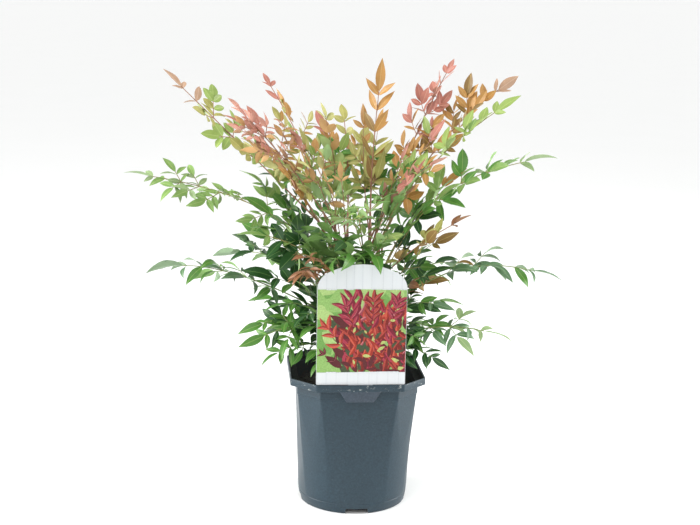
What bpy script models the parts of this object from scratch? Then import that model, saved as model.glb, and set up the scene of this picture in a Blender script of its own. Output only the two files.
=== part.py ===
"""Heavenly bamboo in a nursery pot, with a plain picture label in the pot's rim.

Metres, +Z up. The origin is the middle of the pot's underside, and the label faces -Y.
Six canes stand in the compost. Each leaf stalk leaves its cane, rises in one arch and ends
where its mass of leaflets starts. Azimuths are degrees anticlockwise from +X, seen from above.
"""

import math
import random

import bmesh
import bpy
from mathutils import Matrix, Vector, noise

SEED = 11
CLEARANCE = 0.0003              # gap between pieces that touch
MILLIMETRE = 0.001

# Pot
POT_WIDTH = 0.170               # across the flats of the rim
POT_HEIGHT = 0.174
CORNER_CUT = 0.031              # leg of each cut corner, seen from above
FOOT_RADIUS = 0.0700            # round body just above the foot
FOOT_TUCK = 0.0015              # how far the foot is drawn in at the ground
FOOT_HEIGHT = 0.013
BODY_HEIGHTS = [FOOT_HEIGHT, 0.035, 0.065, 0.095, 0.125]
BODY_SCALE = 0.887              # size of the body under the rim, as a share of the rim
FLARE_POWER = 0.90              # how early the round foot turns into the cut square
COLLAR_STEP = 0.0005            # how far the collar stands proud of the body
COLLAR_BOTTOM = 0.152
WALL = 0.0018
RIM_WALL = 0.0020
RIM_BAND = 0.009                # height of the upright band round the rim
LEDGE = 0.0018                  # thickness of the ledge between the body and the band
EDGE = 0.0006                   # chamfer on the rim's top edge
FLOOR_UNDERSIDE = 0.007         # the ring of floor round the middle stands this far off the ground
FLOOR = 0.0025
MIDDLE_RADIUS = 0.045           # disc in the middle of the floor, which rests on the ground
MIDDLE_SLOPE = 0.0020
FLAT_STEPS = 6
CUT_STEPS = 3
DRAIN_WIDTH = 0.033             # notch in the foot, at the ground
DRAIN_TOP_WIDTH = 0.027
DRAIN_HEIGHT = 0.0064
DRAIN_DEPTH = 0.010
HOLE_RADIUS = 0.005
HOLE_CIRCLE = 0.057
HOLE_SEGMENTS = 12

# Pocket flap under the front of the rim, and the label that slides in behind it
FLAP_WIDTH = 0.052
FLAP_BOTTOM_WIDTH = 0.034
FLAP_DROP = 0.0130
FLAP_THICKNESS = 0.0012
FLAP_SET_BACK = 0.0002          # its face lies this far behind the band's
SLOT_WIDTH = 0.0320
LABEL_WIDTH = 0.1100
LABEL_HEIGHT = 0.1512
LABEL_THICKNESS = 0.0007
LABEL_SHOULDER = 0.0230         # radius of the two upper corners
LABEL_SHOULDER_FOOT = 0.1200    # height at which the sides start to turn in
LABEL_SHOULDER_TURN = 65        # degrees of arc in each shoulder
LABEL_SHOULDER_STEPS = 6
LABEL_CROWN_STEPS = 8           # the top edge between the shoulders is a parabola
TONGUE_WIDTH = 0.0300
TONGUE_TIP_WIDTH = 0.0240
TONGUE_LENGTH = 0.0215
SLOT_FRONT = -POT_WIDTH / 2 + RIM_WALL + 0.0001     # just behind the band
SLOT_BACK = SLOT_FRONT + LABEL_THICKNESS + 2 * CLEARANCE
LABEL_Y = (SLOT_FRONT + SLOT_BACK) / 2

# Compost
COMPOST_TOP = 0.148
COMPOST_BUMP = 0.0025
COMPOST_GRAIN = 60.0            # bumps per metre, about
COMPOST_RINGS = (1.0, 0.75, 0.50, 0.35)
COMPOST_LEVEL_RADIUS = 0.032    # the surface is level inside this radius, where the canes stand

# Canes: name, azimuth, height of the tip
CANES = [
    ("right", -10, 0.335),
    ("back_right", 50, 0.352),
    ("back_left", 112, 0.340),
    ("left", 170, 0.340),
    ("front_left", 228, 0.335),
    ("front_right", 292, 0.335),
]
CANE_FOOT_CIRCLE = 0.014
CANE_SPREAD = 0.072             # outward lean, as a share of the height above the compost
CANE_RADIUS = 0.0034
CANE_TIP_RADIUS = 0.0021
CANE_FLARE = 1.30               # radius at the ground, as a share of the radius above it
CANE_STEPS = 7
CANE_BOW = 0.003

# Leaf stalks
STALK_RADIUS = 0.0016
STALK_TIP_RADIUS = 0.0009
STALK_STEPS = 5

# Masses of leaflets
MASS_SEGMENTS = 6
MASS_RINGS = 14
MASS_UNEVEN = 0.14
MASS_LOBE = 0.20                # side leaflets widen every other ring by this share
MASS_WIDEST = 0.80              # below 1 moves the widest place towards the stalk
MASS_FULLNESS = 0.75            # below 1 blunts both ends
MASS_DROOP = 0.16               # how far the edges hang, as a share of the half width

# Each row: mass, its cane, height where the stalk leaves the cane (None is the cane's tip),
# azimuth, elbow of the arch (distance from the pot's axis, height), tip (distance, height),
# share of the arch that is bare stalk, half width, half thickness, bank in degrees, colour.
# Lengths are in millimetres.
SPRAYS = [
    ("upper_left", "left", None, 172, (144, 454), (246, 549), 0.26, 30, 7, 20, "olive"),
    ("coral_left", "front_left", None, 200, (84, 440), (175, 522), 0.25, 30, 8, -15, "coral"),
    ("coral_back_left", "back_left", 312, 138, (78, 455), (160, 541), 0.28, 30, 8, 15, "coral"),
    ("red_back", "back_left", None, 94, (66, 436), (146, 498), 0.22, 31, 9, 0, "coral"),
    ("tall", "back_right", None, 52, (26, 440), (52, 566), 0.15, 30, 10, 0, "coral"),
    ("coral_right", "back_right", 328, 33, (99, 493), (156, 564), 0.36, 26, 8, -12, "coral"),
    ("bronze_right", "back_right", 300, 15, (82, 472), (218, 544), 0.30, 28, 8, 10, "bronze"),
    ("lime_right", "right", None, -11, (75, 450), (198, 527), 0.26, 27, 8, -10, "olive"),
    ("red_front_right", "front_right", None, -52, (62, 424), (152, 462), 0.22, 30, 8, 10, "coral"),
    ("green_right", "right", 290, -17, (70, 430), (247, 457), 0.22, 30, 7, 8, "leaf"),
    ("bronze_low_right", "front_right", 272, -40, (56, 330), (165, 391), 0.26, 30, 8, 12, "bronze"),
    ("left_mid", "left", 295, 180, (84, 400), (292, 424), 0.14, 32, 7, 5, "leaf"),
    ("dark_left", "front_left", 284, 207, (86, 359), (172, 362), 0.22, 29, 7, -12, "leaf"),
    ("front", "front_right", 300, 264, (62, 402), (184, 410), 0.20, 38, 9, 0, "leaf"),
    ("front_left", "front_left", 266, 238, (94, 353), (160, 339), 0.32, 25, 7, 10, "bronze"),
    ("back_mid_right", "back_right", 268, 66, (84, 402), (226, 430), 0.20, 38, 9, 8, "leaf"),
    ("back_mid_left", "back_left", 272, 122, (84, 396), (244, 424), 0.20, 38, 9, -8, "leaf"),
    ("right_low", "right", 235, -6, (129, 350), (264, 291), 0.24, 36, 8, -6, "dark"),
    ("right_lowest", "right", 202, -28, (112, 262), (213, 233), 0.28, 32, 8, 8, "dark"),
    ("left_low", "left", 238, 185, (198, 338), (267, 300), 0.22, 34, 8, 6, "dark"),
    ("left_lowest", "front_left", 214, 211, (92, 262), (172, 220), 0.26, 34, 9, -6, "dark"),
    ("back_low_right", "back_right", 212, 40, (118, 326), (214, 272), 0.24, 36, 9, 6, "dark"),
    ("back_low", "back_left", 206, 88, (112, 308), (232, 264), 0.24, 38, 9, -5, "dark"),
    ("back_low_left", "back_left", 232, 140, (128, 336), (235, 286), 0.24, 36, 9, 6, "dark"),
    ("front_low", "front_right", 205, 262, (52, 262), (72, 252), 0.12, 24, 9, 0, "dark"),
]

COLOURS = {
    # name: red, green, blue, roughness
    "pot": (0.060, 0.095, 0.115, 0.42),
    "compost": (0.020, 0.013, 0.009, 0.95),
    "label": (0.80, 0.80, 0.80, 0.35),
    "cane": (0.190, 0.075, 0.045, 0.60),
    "stalk": (0.200, 0.100, 0.050, 0.55),
    "dark": (0.030, 0.105, 0.028, 0.45),
    "leaf": (0.075, 0.190, 0.040, 0.45),
    "olive": (0.270, 0.310, 0.060, 0.45),
    "bronze": (0.330, 0.150, 0.035, 0.45),
    "coral": (0.560, 0.170, 0.080, 0.45),
}


def remove_everything():
    for old in list(bpy.data.objects):
        bpy.data.objects.remove(old, do_unlink=True)


def make_collection(name):
    collection = bpy.data.collections.new(name)
    bpy.context.scene.collection.children.link(collection)
    return collection


def make_material(name):
    red, green, blue, roughness = COLOURS[name]
    material = bpy.data.materials.new(name)
    material.use_nodes = True
    shader = material.node_tree.nodes["Principled BSDF"]
    shader.inputs["Base Color"].default_value = (red, green, blue, 1.0)
    shader.inputs["Roughness"].default_value = roughness
    shader.inputs["Metallic"].default_value = 0.0
    return material


def add_object(name, data, collection, material=None):
    thing = bpy.data.objects.new(name, data)
    if material:
        data.materials.append(material)
    collection.objects.link(thing)
    return thing


def mesh_from_bmesh(name, bm, smooth_angle=35):
    mesh = bpy.data.meshes.new(name)
    bmesh.ops.recalc_face_normals(bm, faces=bm.faces)
    bm.to_mesh(mesh)
    bm.free()
    mesh.shade_smooth()
    mesh.set_sharp_from_angle(angle=math.radians(smooth_angle))
    return mesh


def polar(distance, azimuth, height):
    angle = math.radians(azimuth)
    return Vector((distance * math.cos(angle), distance * math.sin(angle), height))


# Outlines of the pot, seen from above

def column_angles():
    """Directions of the rim's corners, and of even steps along the sides between them."""
    half = POT_WIDTH / 2
    short = half - CORNER_CUT
    corners = []
    for turn in range(4):
        quarter = Matrix.Rotation(turn * math.pi / 2, 2)
        corners.append(quarter @ Vector((half, -short)))
        corners.append(quarter @ Vector((half, short)))
    angles = []
    for index, start in enumerate(corners):
        end = corners[(index + 1) % len(corners)]
        steps = FLAT_STEPS if index % 2 == 0 else CUT_STEPS
        for step in range(steps):
            point = start.lerp(end, step / steps)
            angles.append(math.atan2(point.y, point.x))
    return angles


ANGLES = column_angles()


def rim_radius(angle):
    """Distance from the axis to the rim, a square with its corners cut off."""
    across = abs(math.cos(angle))
    along = abs(math.sin(angle))
    flat = POT_WIDTH / 2 / max(across, along)
    cut = (POT_WIDTH - CORNER_CUT) / (across + along)
    return min(flat, cut)


def body_radius(angle, height):
    """The body is round at its foot and turns into the rim's outline on the way up."""
    share = min(max(height / COLLAR_BOTTOM, 0.0), 1.0) ** FLARE_POWER
    radius = FOOT_RADIUS + share * (rim_radius(angle) * BODY_SCALE - FOOT_RADIUS)
    if height < FOOT_HEIGHT:
        radius -= FOOT_TUCK * (1 - height / FOOT_HEIGHT)
    return radius


def outline(radius_at, height):
    """One closed ring of points, from a radius or from a function of the angle."""
    ring = []
    for angle in ANGLES:
        radius = radius_at(angle) if callable(radius_at) else radius_at
        ring.append(Vector((radius * math.cos(angle), radius * math.sin(angle), height)))
    return ring


def body_outline(height, inset=0.0):
    return outline(lambda angle: body_radius(angle, height) - inset, height)


def rim_outline(height, inset=0.0, scale=1.0):
    return outline(lambda angle: rim_radius(angle) * scale - inset, height)


def loft(name, rings):
    """A closed body through the rings, with a flat face on the first and the last."""
    bm = bmesh.new()
    loops = [[bm.verts.new(point) for point in ring] for ring in rings]
    for lower, upper in zip(loops, loops[1:]):
        for index in range(len(lower)):
            following = (index + 1) % len(lower)
            bm.faces.new((lower[index], lower[following], upper[following], upper[index]))
    bm.faces.new(loops[0])
    bm.faces.new(loops[-1])
    return mesh_from_bmesh(name, bm)


# Pot

def pot_rings():
    """From the middle of the underside, up the outside, over the rim and down the inside."""
    floor_top = FLOOR_UNDERSIDE + FLOOR
    foot_inner = FOOT_RADIUS - FOOT_TUCK - WALL - MILLIMETRE
    band_bottom = POT_HEIGHT - RIM_BAND
    ledge_top = band_bottom + LEDGE
    collar = BODY_SCALE * POT_WIDTH / 2 + COLLAR_STEP
    collar_scale = collar / (POT_WIDTH / 2)
    rings = [
        outline(MIDDLE_RADIUS, 0.0),
        outline(MIDDLE_RADIUS + MIDDLE_SLOPE, FLOOR_UNDERSIDE),
        outline(foot_inner, FLOOR_UNDERSIDE),
        outline(foot_inner, 0.0),
        body_outline(0.0, inset=EDGE),
        body_outline(EDGE),
    ]
    rings += [body_outline(height) for height in BODY_HEIGHTS]
    rings += [
        body_outline(COLLAR_BOTTOM),
        rim_outline(COLLAR_BOTTOM + COLLAR_STEP, scale=collar_scale),
        rim_outline(band_bottom, scale=collar_scale),
        rim_outline(band_bottom),
        rim_outline(POT_HEIGHT - EDGE),
        rim_outline(POT_HEIGHT, inset=EDGE),
        rim_outline(POT_HEIGHT, inset=RIM_WALL - EDGE),
        rim_outline(POT_HEIGHT - EDGE, inset=RIM_WALL),
        rim_outline(ledge_top, inset=RIM_WALL),
        rim_outline(ledge_top, inset=WALL, scale=BODY_SCALE),
        body_outline(COLLAR_BOTTOM, inset=WALL),
    ]
    rings += [body_outline(height, inset=WALL) for height in reversed(BODY_HEIGHTS)]
    rings += [
        body_outline(floor_top, inset=WALL),
        outline(MIDDLE_RADIUS + 2 * MIDDLE_SLOPE, floor_top),
        outline(MIDDLE_RADIUS + MIDDLE_SLOPE, FLOOR),
    ]
    return rings


def trapezoid_block(name, bottom_width, top_width, y_range, z_range):
    """A box that is wider at one end of its height than at the other."""
    bm = bmesh.new()
    bmesh.ops.create_cube(bm, size=1.0)
    for vert in bm.verts:
        width = top_width if vert.co.z > 0 else bottom_width
        vert.co.x *= width
        vert.co.y = y_range[1] if vert.co.y > 0 else y_range[0]
        vert.co.z = z_range[1] if vert.co.z > 0 else z_range[0]
    return mesh_from_bmesh(name, bm)


def add_boolean(target, tool, operation):
    tool.hide_render = True
    tool.display_type = "WIRE"
    modifier = target.modifiers.new(tool.name, "BOOLEAN")
    modifier.operation = operation
    modifier.object = tool
    modifier.solver = "EXACT"


def build_pot(parts, cutters):
    pot = add_object("pot", loft("pot", pot_rings()), parts, make_material("pot"))
    band_bottom = POT_HEIGHT - RIM_BAND
    flap_front = -POT_WIDTH / 2 + FLAP_SET_BACK
    flap_range = (flap_front, flap_front + FLAP_THICKNESS)
    flap_mesh = trapezoid_block("flap", FLAP_BOTTOM_WIDTH, FLAP_WIDTH, flap_range,
                                (band_bottom - FLAP_DROP, band_bottom + MILLIMETRE))
    add_boolean(pot, add_object("flap", flap_mesh, cutters), "UNION")

    slot_mesh = trapezoid_block("slot", SLOT_WIDTH, SLOT_WIDTH, (SLOT_FRONT, SLOT_BACK),
                                (band_bottom - LEDGE, band_bottom + 2 * LEDGE))
    add_boolean(pot, add_object("slot", slot_mesh, cutters), "DIFFERENCE")

    notch_mesh = trapezoid_block("drain_notch", DRAIN_WIDTH, DRAIN_TOP_WIDTH,
                                 (-FOOT_RADIUS - DRAIN_DEPTH, -FOOT_RADIUS + DRAIN_DEPTH),
                                 (-DRAIN_HEIGHT, DRAIN_HEIGHT))
    for turn in range(4):
        angle = turn * math.pi / 2
        notch = add_object(f"drain_notch_{turn}", notch_mesh, cutters)
        notch.rotation_euler.z = angle
        add_boolean(pot, notch, "DIFFERENCE")
        bm = bmesh.new()
        bmesh.ops.create_cone(bm, cap_ends=True, segments=HOLE_SEGMENTS, radius1=HOLE_RADIUS,
                              radius2=HOLE_RADIUS, depth=4 * FLOOR)
        hole = add_object(f"drain_hole_{turn}", mesh_from_bmesh("drain_hole", bm), cutters)
        hole.location = polar(HOLE_CIRCLE, math.degrees(angle), FLOOR_UNDERSIDE + FLOOR / 2)
        add_boolean(pot, hole, "DIFFERENCE")


# Compost

def build_compost(parts):
    """It fills the pot, is bumpy on top, and lies level where the canes stand."""
    gap = WALL + CLEARANCE
    floor_top = FLOOR_UNDERSIDE + FLOOR + CLEARANCE
    rings = [
        outline(MIDDLE_RADIUS + MIDDLE_SLOPE - 2 * CLEARANCE, FLOOR + CLEARANCE),
        outline(MIDDLE_RADIUS + 2 * MIDDLE_SLOPE - 2 * CLEARANCE, floor_top),
        body_outline(floor_top, inset=gap),
    ]
    rings += [body_outline(height, inset=gap) for height in BODY_HEIGHTS]
    rim_of_surface = body_outline(COMPOST_TOP, inset=gap)
    for share in COMPOST_RINGS:
        ring = []
        for point in rim_of_surface:
            flat = Vector((point.x * share, point.y * share, COMPOST_TOP))
            if Vector((flat.x, flat.y)).length > COMPOST_LEVEL_RADIUS:
                flat.z += COMPOST_BUMP * noise.noise(flat * COMPOST_GRAIN + Vector((SEED, 0, 0)))
            ring.append(flat)
        rings.append(ring)
    add_object("compost", loft("compost", rings), parts, make_material("compost"))


# Label

def arc(centre, radius, start, end, steps):
    points = []
    for step in range(steps + 1):
        angle = math.radians(start + (end - start) * step / steps)
        points.append((centre[0] + radius * math.cos(angle), centre[1] + radius * math.sin(angle)))
    return points


def label_outline():
    """Anticlockwise from the tongue's foot, with x across and y up from the rim's top edge."""
    half = LABEL_WIDTH / 2
    right = arc((half - LABEL_SHOULDER, LABEL_SHOULDER_FOOT), LABEL_SHOULDER,
                0, LABEL_SHOULDER_TURN, LABEL_SHOULDER_STEPS)
    left = [(-x, y) for x, y in reversed(right)]
    end_x, end_y = right[-1]
    crown = []
    for step in range(1, LABEL_CROWN_STEPS):
        across = 1 - 2 * step / LABEL_CROWN_STEPS
        crown.append((end_x * across, LABEL_HEIGHT - (LABEL_HEIGHT - end_y) * across ** 2))
    tongue_tip = -TONGUE_LENGTH
    return [
        (TONGUE_TIP_WIDTH / 2, tongue_tip),
        (TONGUE_WIDTH / 2, tongue_tip + TONGUE_LENGTH / 3),
        (TONGUE_WIDTH / 2, 0.0),
        (half, 0.0),
        *right,
        *crown,
        *left,
        (-half, 0.0),
        (-TONGUE_WIDTH / 2, 0.0),
        (-TONGUE_WIDTH / 2, tongue_tip + TONGUE_LENGTH / 3),
        (-TONGUE_TIP_WIDTH / 2, tongue_tip),
    ]


def build_label(parts):
    """It stands on the rim's top edge, with its tongue through the slot behind the flap."""
    curve = bpy.data.curves.new("label", "CURVE")
    curve.dimensions = "2D"
    curve.fill_mode = "BOTH"
    curve.extrude = LABEL_THICKNESS / 2
    points = label_outline()
    spline = curve.splines.new("POLY")
    spline.points.add(len(points) - 1)
    for target, (x, y) in zip(spline.points, points):
        target.co = (x, y, 0.0, 1.0)
    spline.use_cyclic_u = True
    label = add_object("label", curve, parts, make_material("label"))
    label.location = (0.0, LABEL_Y, POT_HEIGHT + CLEARANCE)
    label.rotation_euler.x = math.pi / 2


# Canes and leaf stalks

def cane_point(cane, height):
    """Middle of the cane at a height: it leans out from its foot and bows a little."""
    _, azimuth, tip = cane
    above = height - COMPOST_TOP
    share = above / (tip - COMPOST_TOP)
    bow = CANE_BOW * math.sin(math.pi * share)
    return polar(CANE_FOOT_CIRCLE + CANE_SPREAD * above + bow, azimuth, height)


def cane_radius(cane, height):
    share = (height - COMPOST_TOP) / (cane[2] - COMPOST_TOP)
    return CANE_RADIUS + (CANE_TIP_RADIUS - CANE_RADIUS) * share


def limb(name, points, radii, bevel_resolution, material, parts):
    """A tapering limb: a curve with a round bevel, closed at both ends."""
    curve = bpy.data.curves.new(name, "CURVE")
    curve.dimensions = "3D"
    curve.bevel_depth = radii[0]
    curve.bevel_resolution = bevel_resolution
    curve.use_fill_caps = True
    spline = curve.splines.new("POLY")
    spline.points.add(len(points) - 1)
    for target, point, radius in zip(spline.points, points, radii):
        target.co = (*point, 1.0)
        target.radius = radius / radii[0]
    spline.use_smooth = True
    return add_object(name, curve, parts, material)


def build_canes(parts):
    material = make_material("cane")
    for cane in CANES:
        name, _, tip = cane
        foot = COMPOST_TOP + CLEARANCE
        foot_point = cane_point(cane, COMPOST_TOP)
        points = [Vector((foot_point.x, foot_point.y, foot))]
        radii = [CANE_RADIUS * CANE_FLARE]
        points.append(points[0] + Vector((0.0, 0.0, 2 * MILLIMETRE)))
        radii.append(CANE_RADIUS * (1 + CANE_FLARE) / 2)
        for step in range(1, CANE_STEPS + 1):
            height = foot + (tip - foot) * step / CANE_STEPS
            points.append(cane_point(cane, height))
            radii.append(cane_radius(cane, height))
        limb(f"cane_{name}", points, radii, 2, material, parts)


class Arch:
    """The line of one spray, from its cane through its elbow to its tip."""

    def __init__(self, row):
        (self.name, cane_name, leave, azimuth, elbow, tip, self.bare,
         half_width, half_thickness, bank, self.colour) = row
        cane = next(entry for entry in CANES if entry[0] == cane_name)
        self.half_width = half_width * MILLIMETRE
        self.half_thickness = half_thickness * MILLIMETRE
        self.bank = math.radians(bank)
        self.elbow = polar(elbow[0] * MILLIMETRE, azimuth, elbow[1] * MILLIMETRE)
        self.tip = polar(tip[0] * MILLIMETRE, azimuth, tip[1] * MILLIMETRE)
        self.across = polar(1.0, azimuth + 90, 0.0)
        if leave is None:
            self.start = self.start_on_tip(cane)
        else:
            self.start = self.start_on_side(cane, leave * MILLIMETRE, azimuth)

    def start_on_tip(self, cane):
        """The end face of the stalk leans on the end face of the cane without cutting it."""
        top = cane_point(cane, cane[2])
        below = cane_point(cane, cane[2] - 10 * MILLIMETRE)
        cane_way = (top - below).normalized()
        stalk_way = (self.elbow - top).normalized()
        lean = cane_way.cross(stalk_way).length
        return top + cane_way * (CLEARANCE + STALK_RADIUS * lean)

    def start_on_side(self, cane, height, azimuth):
        """The end face of the stalk just clears the cane's side."""
        middle = cane_point(cane, height)
        outward = polar(1.0, azimuth, 0.0)
        stalk_way = (self.elbow - middle).normalized()
        rise = math.sqrt(max(0.0, 1 - stalk_way.dot(outward) ** 2))
        return middle + outward * (cane_radius(cane, height) + CLEARANCE + STALK_RADIUS * rise)

    def point(self, share):
        """A quadratic curve, which leaves the start towards the elbow."""
        rest = 1 - share
        return rest * rest * self.start + 2 * rest * share * self.elbow + share * share * self.tip

    def direction(self, share):
        return ((1 - share) * (self.elbow - self.start) + share * (self.tip - self.elbow)).normalized()

    def frame(self, share):
        """Sideways and upright directions of the spray, banked about its line."""
        forward = self.direction(share)
        sideways = Matrix.Rotation(self.bank, 3, forward) @ self.across
        return sideways, forward.cross(sideways)


def build_stalk(arch, material, parts):
    points = []
    radii = []
    for step in range(STALK_STEPS + 1):
        share = step / STALK_STEPS
        points.append(arch.point(arch.bare * share))
        radii.append(STALK_RADIUS + (STALK_TIP_RADIUS - STALK_RADIUS) * share)
    points[-1] = points[-1] - arch.direction(arch.bare) * CLEARANCE / 2
    limb(f"stalk_{arch.name}", points, radii, 1, material, parts)


def build_mass(arch, material, parts):
    """A ball drawn out along the arch, with an edge as uneven as a spray of leaflets."""
    uneven = random.Random(f"{SEED} {arch.name}")
    bm = bmesh.new()
    bmesh.ops.create_uvsphere(bm, u_segments=MASS_SEGMENTS, v_segments=MASS_RINGS, radius=1.0)
    rings = {}
    for vert in sorted(bm.verts, key=lambda v: (round(v.co.z, 4), v.index)):
        rings.setdefault(round(vert.co.z, 4), []).append(vert)
    for number, (level, ring) in enumerate(sorted(rings.items())):
        along = (1 + level) / 2
        share = arch.bare + (1 - arch.bare) * along
        spine = arch.point(share)
        if along == 0:
            spine = spine + arch.direction(share) * CLEARANCE / 2
        sideways, upright = arch.frame(share)
        girth = max(0.0, math.sin(math.pi * along ** MASS_WIDEST)) ** MASS_FULLNESS
        lobe = 1 + MASS_LOBE * (-1) ** number
        left, right, thick = [uneven.uniform(1 - MASS_UNEVEN, 1 + MASS_UNEVEN) for _ in range(3)]
        for vert in ring:
            spread = math.hypot(vert.co.x, vert.co.y)
            if spread < 1e-6:
                vert.co = spine
                continue
            across = vert.co.x / spread
            rise = vert.co.y / spread
            side = left if across > 0 else right
            reach = arch.half_width * girth * side * lobe
            lift = arch.half_thickness * girth * thick * rise - MASS_DROOP * reach * across * across
            vert.co = spine + sideways * reach * across + upright * lift
    mesh = mesh_from_bmesh(arch.name, bm, smooth_angle=80)
    add_object(f"leaves_{arch.name}", mesh, parts, material)


def main():
    remove_everything()
    parts = make_collection("heavenly_bamboo")
    cutters = make_collection("cutters")
    build_pot(parts, cutters)
    build_compost(parts)
    build_label(parts)
    build_canes(parts)
    stalk_material = make_material("stalk")
    leaf_materials = {name: make_material(name) for name in ("dark", "leaf", "olive", "bronze", "coral")}
    for row in SPRAYS:
        arch = Arch(row)
        build_stalk(arch, stalk_material, parts)
        build_mass(arch, leaf_materials[arch.colour], parts)


main()
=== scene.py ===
"""Finish of a potted heavenly bamboo: pot, compost, picture label, canes, twigs and leaflets.

Metres, +Z up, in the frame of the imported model. Every stalk follows the line of its solid, and the
twigs and leaflets that replace each mass grow on from it by a seeded branching rule. Leaf colours
are plain tints, dealt out from the foot of each spray to its tip.
"""

import math
import random

from collections import namedtuple

import bmesh
import bpy
from mathutils import Matrix, Vector, noise


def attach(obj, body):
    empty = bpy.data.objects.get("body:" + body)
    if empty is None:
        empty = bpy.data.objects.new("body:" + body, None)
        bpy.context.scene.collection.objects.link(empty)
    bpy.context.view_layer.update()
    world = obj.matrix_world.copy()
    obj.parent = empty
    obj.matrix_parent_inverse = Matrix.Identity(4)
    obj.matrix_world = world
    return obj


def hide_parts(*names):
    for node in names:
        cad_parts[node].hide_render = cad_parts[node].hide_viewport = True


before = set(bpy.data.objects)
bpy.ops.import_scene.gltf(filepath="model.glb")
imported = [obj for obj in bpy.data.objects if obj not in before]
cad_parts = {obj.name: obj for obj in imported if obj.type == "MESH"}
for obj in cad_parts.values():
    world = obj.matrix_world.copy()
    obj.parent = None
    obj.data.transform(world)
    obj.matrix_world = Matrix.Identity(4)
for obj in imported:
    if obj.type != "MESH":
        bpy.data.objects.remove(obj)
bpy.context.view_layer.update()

SEED = 11
MILLIMETRE = 0.001
BODY = "root"
UP = Vector((0.0, 0.0, 1.0))

# Camera, fitted to the rim and the foot of the pot
CAMERA_PLACE = Vector((-0.1632, -1.6922, 0.6607))
CAMERA_YAW = 5.225              # degrees to the right of +Y
CAMERA_PITCH = 11.637           # degrees below level
CAMERA_ROLL = 1.157
CAMERA_LENS = 70.29             # mm, on a sensor 36 mm wide
SENSOR_WIDTH = 36.0

# Light
HORIZON = 1.03
ZENITH = 0.50
SUN_STRENGTH = 1.85
SIDE_POWER = 42
SUN_SOFTNESS = 70               # degrees
SUN_DIRECTION = Vector((0.25, 0.65, -1.0))
SIDE_SIZE = (0.7, 1.4)
LIT_POINT = (0.0, 0.0, 0.25)
FLOOR_RADIUS = 600.0
FLOOR_GAP = 0.0005              # between the floor and the pot's foot

# Pot, with the sizes of its solid
POT_WIDTH = 0.170
POT_HEIGHT = 0.174
CORNER_CUT = 0.031
FOOT_RADIUS = 0.0700
FOOT_TUCK = 0.0015
FOOT_HEIGHT = 0.013
BODY_SCALE = 0.887
FLARE_POWER = 0.90
COLLAR_BOTTOM = 0.152
WALL = 0.0018
RIM_WALL = 0.0020
RIM_BAND = 0.009
LEDGE = 0.0018
FLOOR_UNDERSIDE = 0.007
FLOOR = 0.0025
MIDDLE_RADIUS = 0.045
MIDDLE_SLOPE = 0.0020
DRAIN_WIDTH = 0.033
DRAIN_TOP_WIDTH = 0.027
DRAIN_HEIGHT = 0.0064
DRAIN_DEPTH = 0.010
HOLE_RADIUS = 0.005
HOLE_CIRCLE = 0.057
FLAP_WIDTH = 0.052
FLAP_BOTTOM_WIDTH = 0.034
FLAP_DROP = 0.0130
FLAP_THICKNESS = 0.0012
FLAP_SET_BACK = 0.0002
FLAP_CORNER = 0.0011
FLAP_EDGE = 0.00035
SLOT_WIDTH = 0.0320
CLEARANCE = 0.0003

POT_COLOUR = (0.017, 0.035, 0.049)
FLAP_COLOUR = (0.034, 0.048, 0.066)

# Finer than the solid
POT_COLUMNS = 240
CORNER_COLUMNS = (-1.0, -0.4, 0.4, 1.0)   # more of them, in degrees from each corner of the rim
BODY_RINGS = 45
FACET_FOOT = 0.60               # the corner facets end at this share of the body's flare
CORNER_SHARPNESS = 240          # higher is a tighter corner, seen from above
FOOT_GROOVE = 0.0004            # depth of the moulding line above the foot
COLLAR_STEP = 0.0008            # a little more than in the solid, so that its edge shows
EDGE_ROUND = 0.0006
POT_SHARP_ANGLE = 33            # degrees, above which an edge stays sharp
HEIGHT_TO_RAMP = 5.0            # brings heights on the pot into a ramp's range

# Label
LABEL_WIDTH = 0.1100
LABEL_HEIGHT = 0.1512
LABEL_THICKNESS = 0.0007
LABEL_SHOULDER = 0.0230
LABEL_SHOULDER_FOOT = 0.1200
LABEL_SHOULDER_TURN = 65
LABEL_STEPS = 16
TONGUE_WIDTH = 0.0300
TONGUE_TIP_WIDTH = 0.0240
TONGUE_LENGTH = 0.0215
SLOT_FRONT = -POT_WIDTH / 2 + RIM_WALL + 0.0001
SLOT_BACK = SLOT_FRONT + LABEL_THICKNESS + 2 * CLEARANCE
LABEL_Y = (SLOT_FRONT + SLOT_BACK) / 2
LABEL_FOOT = POT_HEIGHT + CLEARANCE
PICTURE_BOTTOM = 0.0155         # above the label's foot
PICTURE_TOP = 0.1205
PRINT_STEP = 0.0000006          # each printed shape lies this far in front of the one before
PRINT_CLEARANCE = 20 * PRINT_STEP
PRINT_LEAF_STEPS = 7
PRINT_LEAF_BOW = 0.12           # as a share of the leaf's length
PRINT_SHADE_EDGE = 0.15         # the shaded half ends this far beyond the middle of the leaf
PICTURE_MARGIN = 0.0004

# Compost
COMPOST_TOP = 0.148
COMPOST_RINGS = 22
COMPOST_BUMP = 0.0022
CRUMBS = 420
CRUMB_SIZE = (0.0007, 0.0022)

# Canes: name, azimuth, height of the tip
CANES = [
    ("right", -10, 0.335),
    ("back_right", 50, 0.352),
    ("back_left", 112, 0.340),
    ("left", 170, 0.340),
    ("front_left", 228, 0.335),
    ("front_right", 292, 0.335),
]
CANE_FOOT_CIRCLE = 0.014
CANE_SPREAD = 0.072
CANE_RADIUS = 0.0034
CANE_TIP_RADIUS = 0.0021
CANE_FLARE = 1.30
CANE_FLARE_HEIGHT = 0.003
CANE_BOW = 0.003
CANE_SIDES = 18
CANE_RING_STEP = 0.0016
SHEATH_LENGTH = 0.023           # from one old leaf base to the next
SHEATH_SWELL = 0.13

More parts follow.
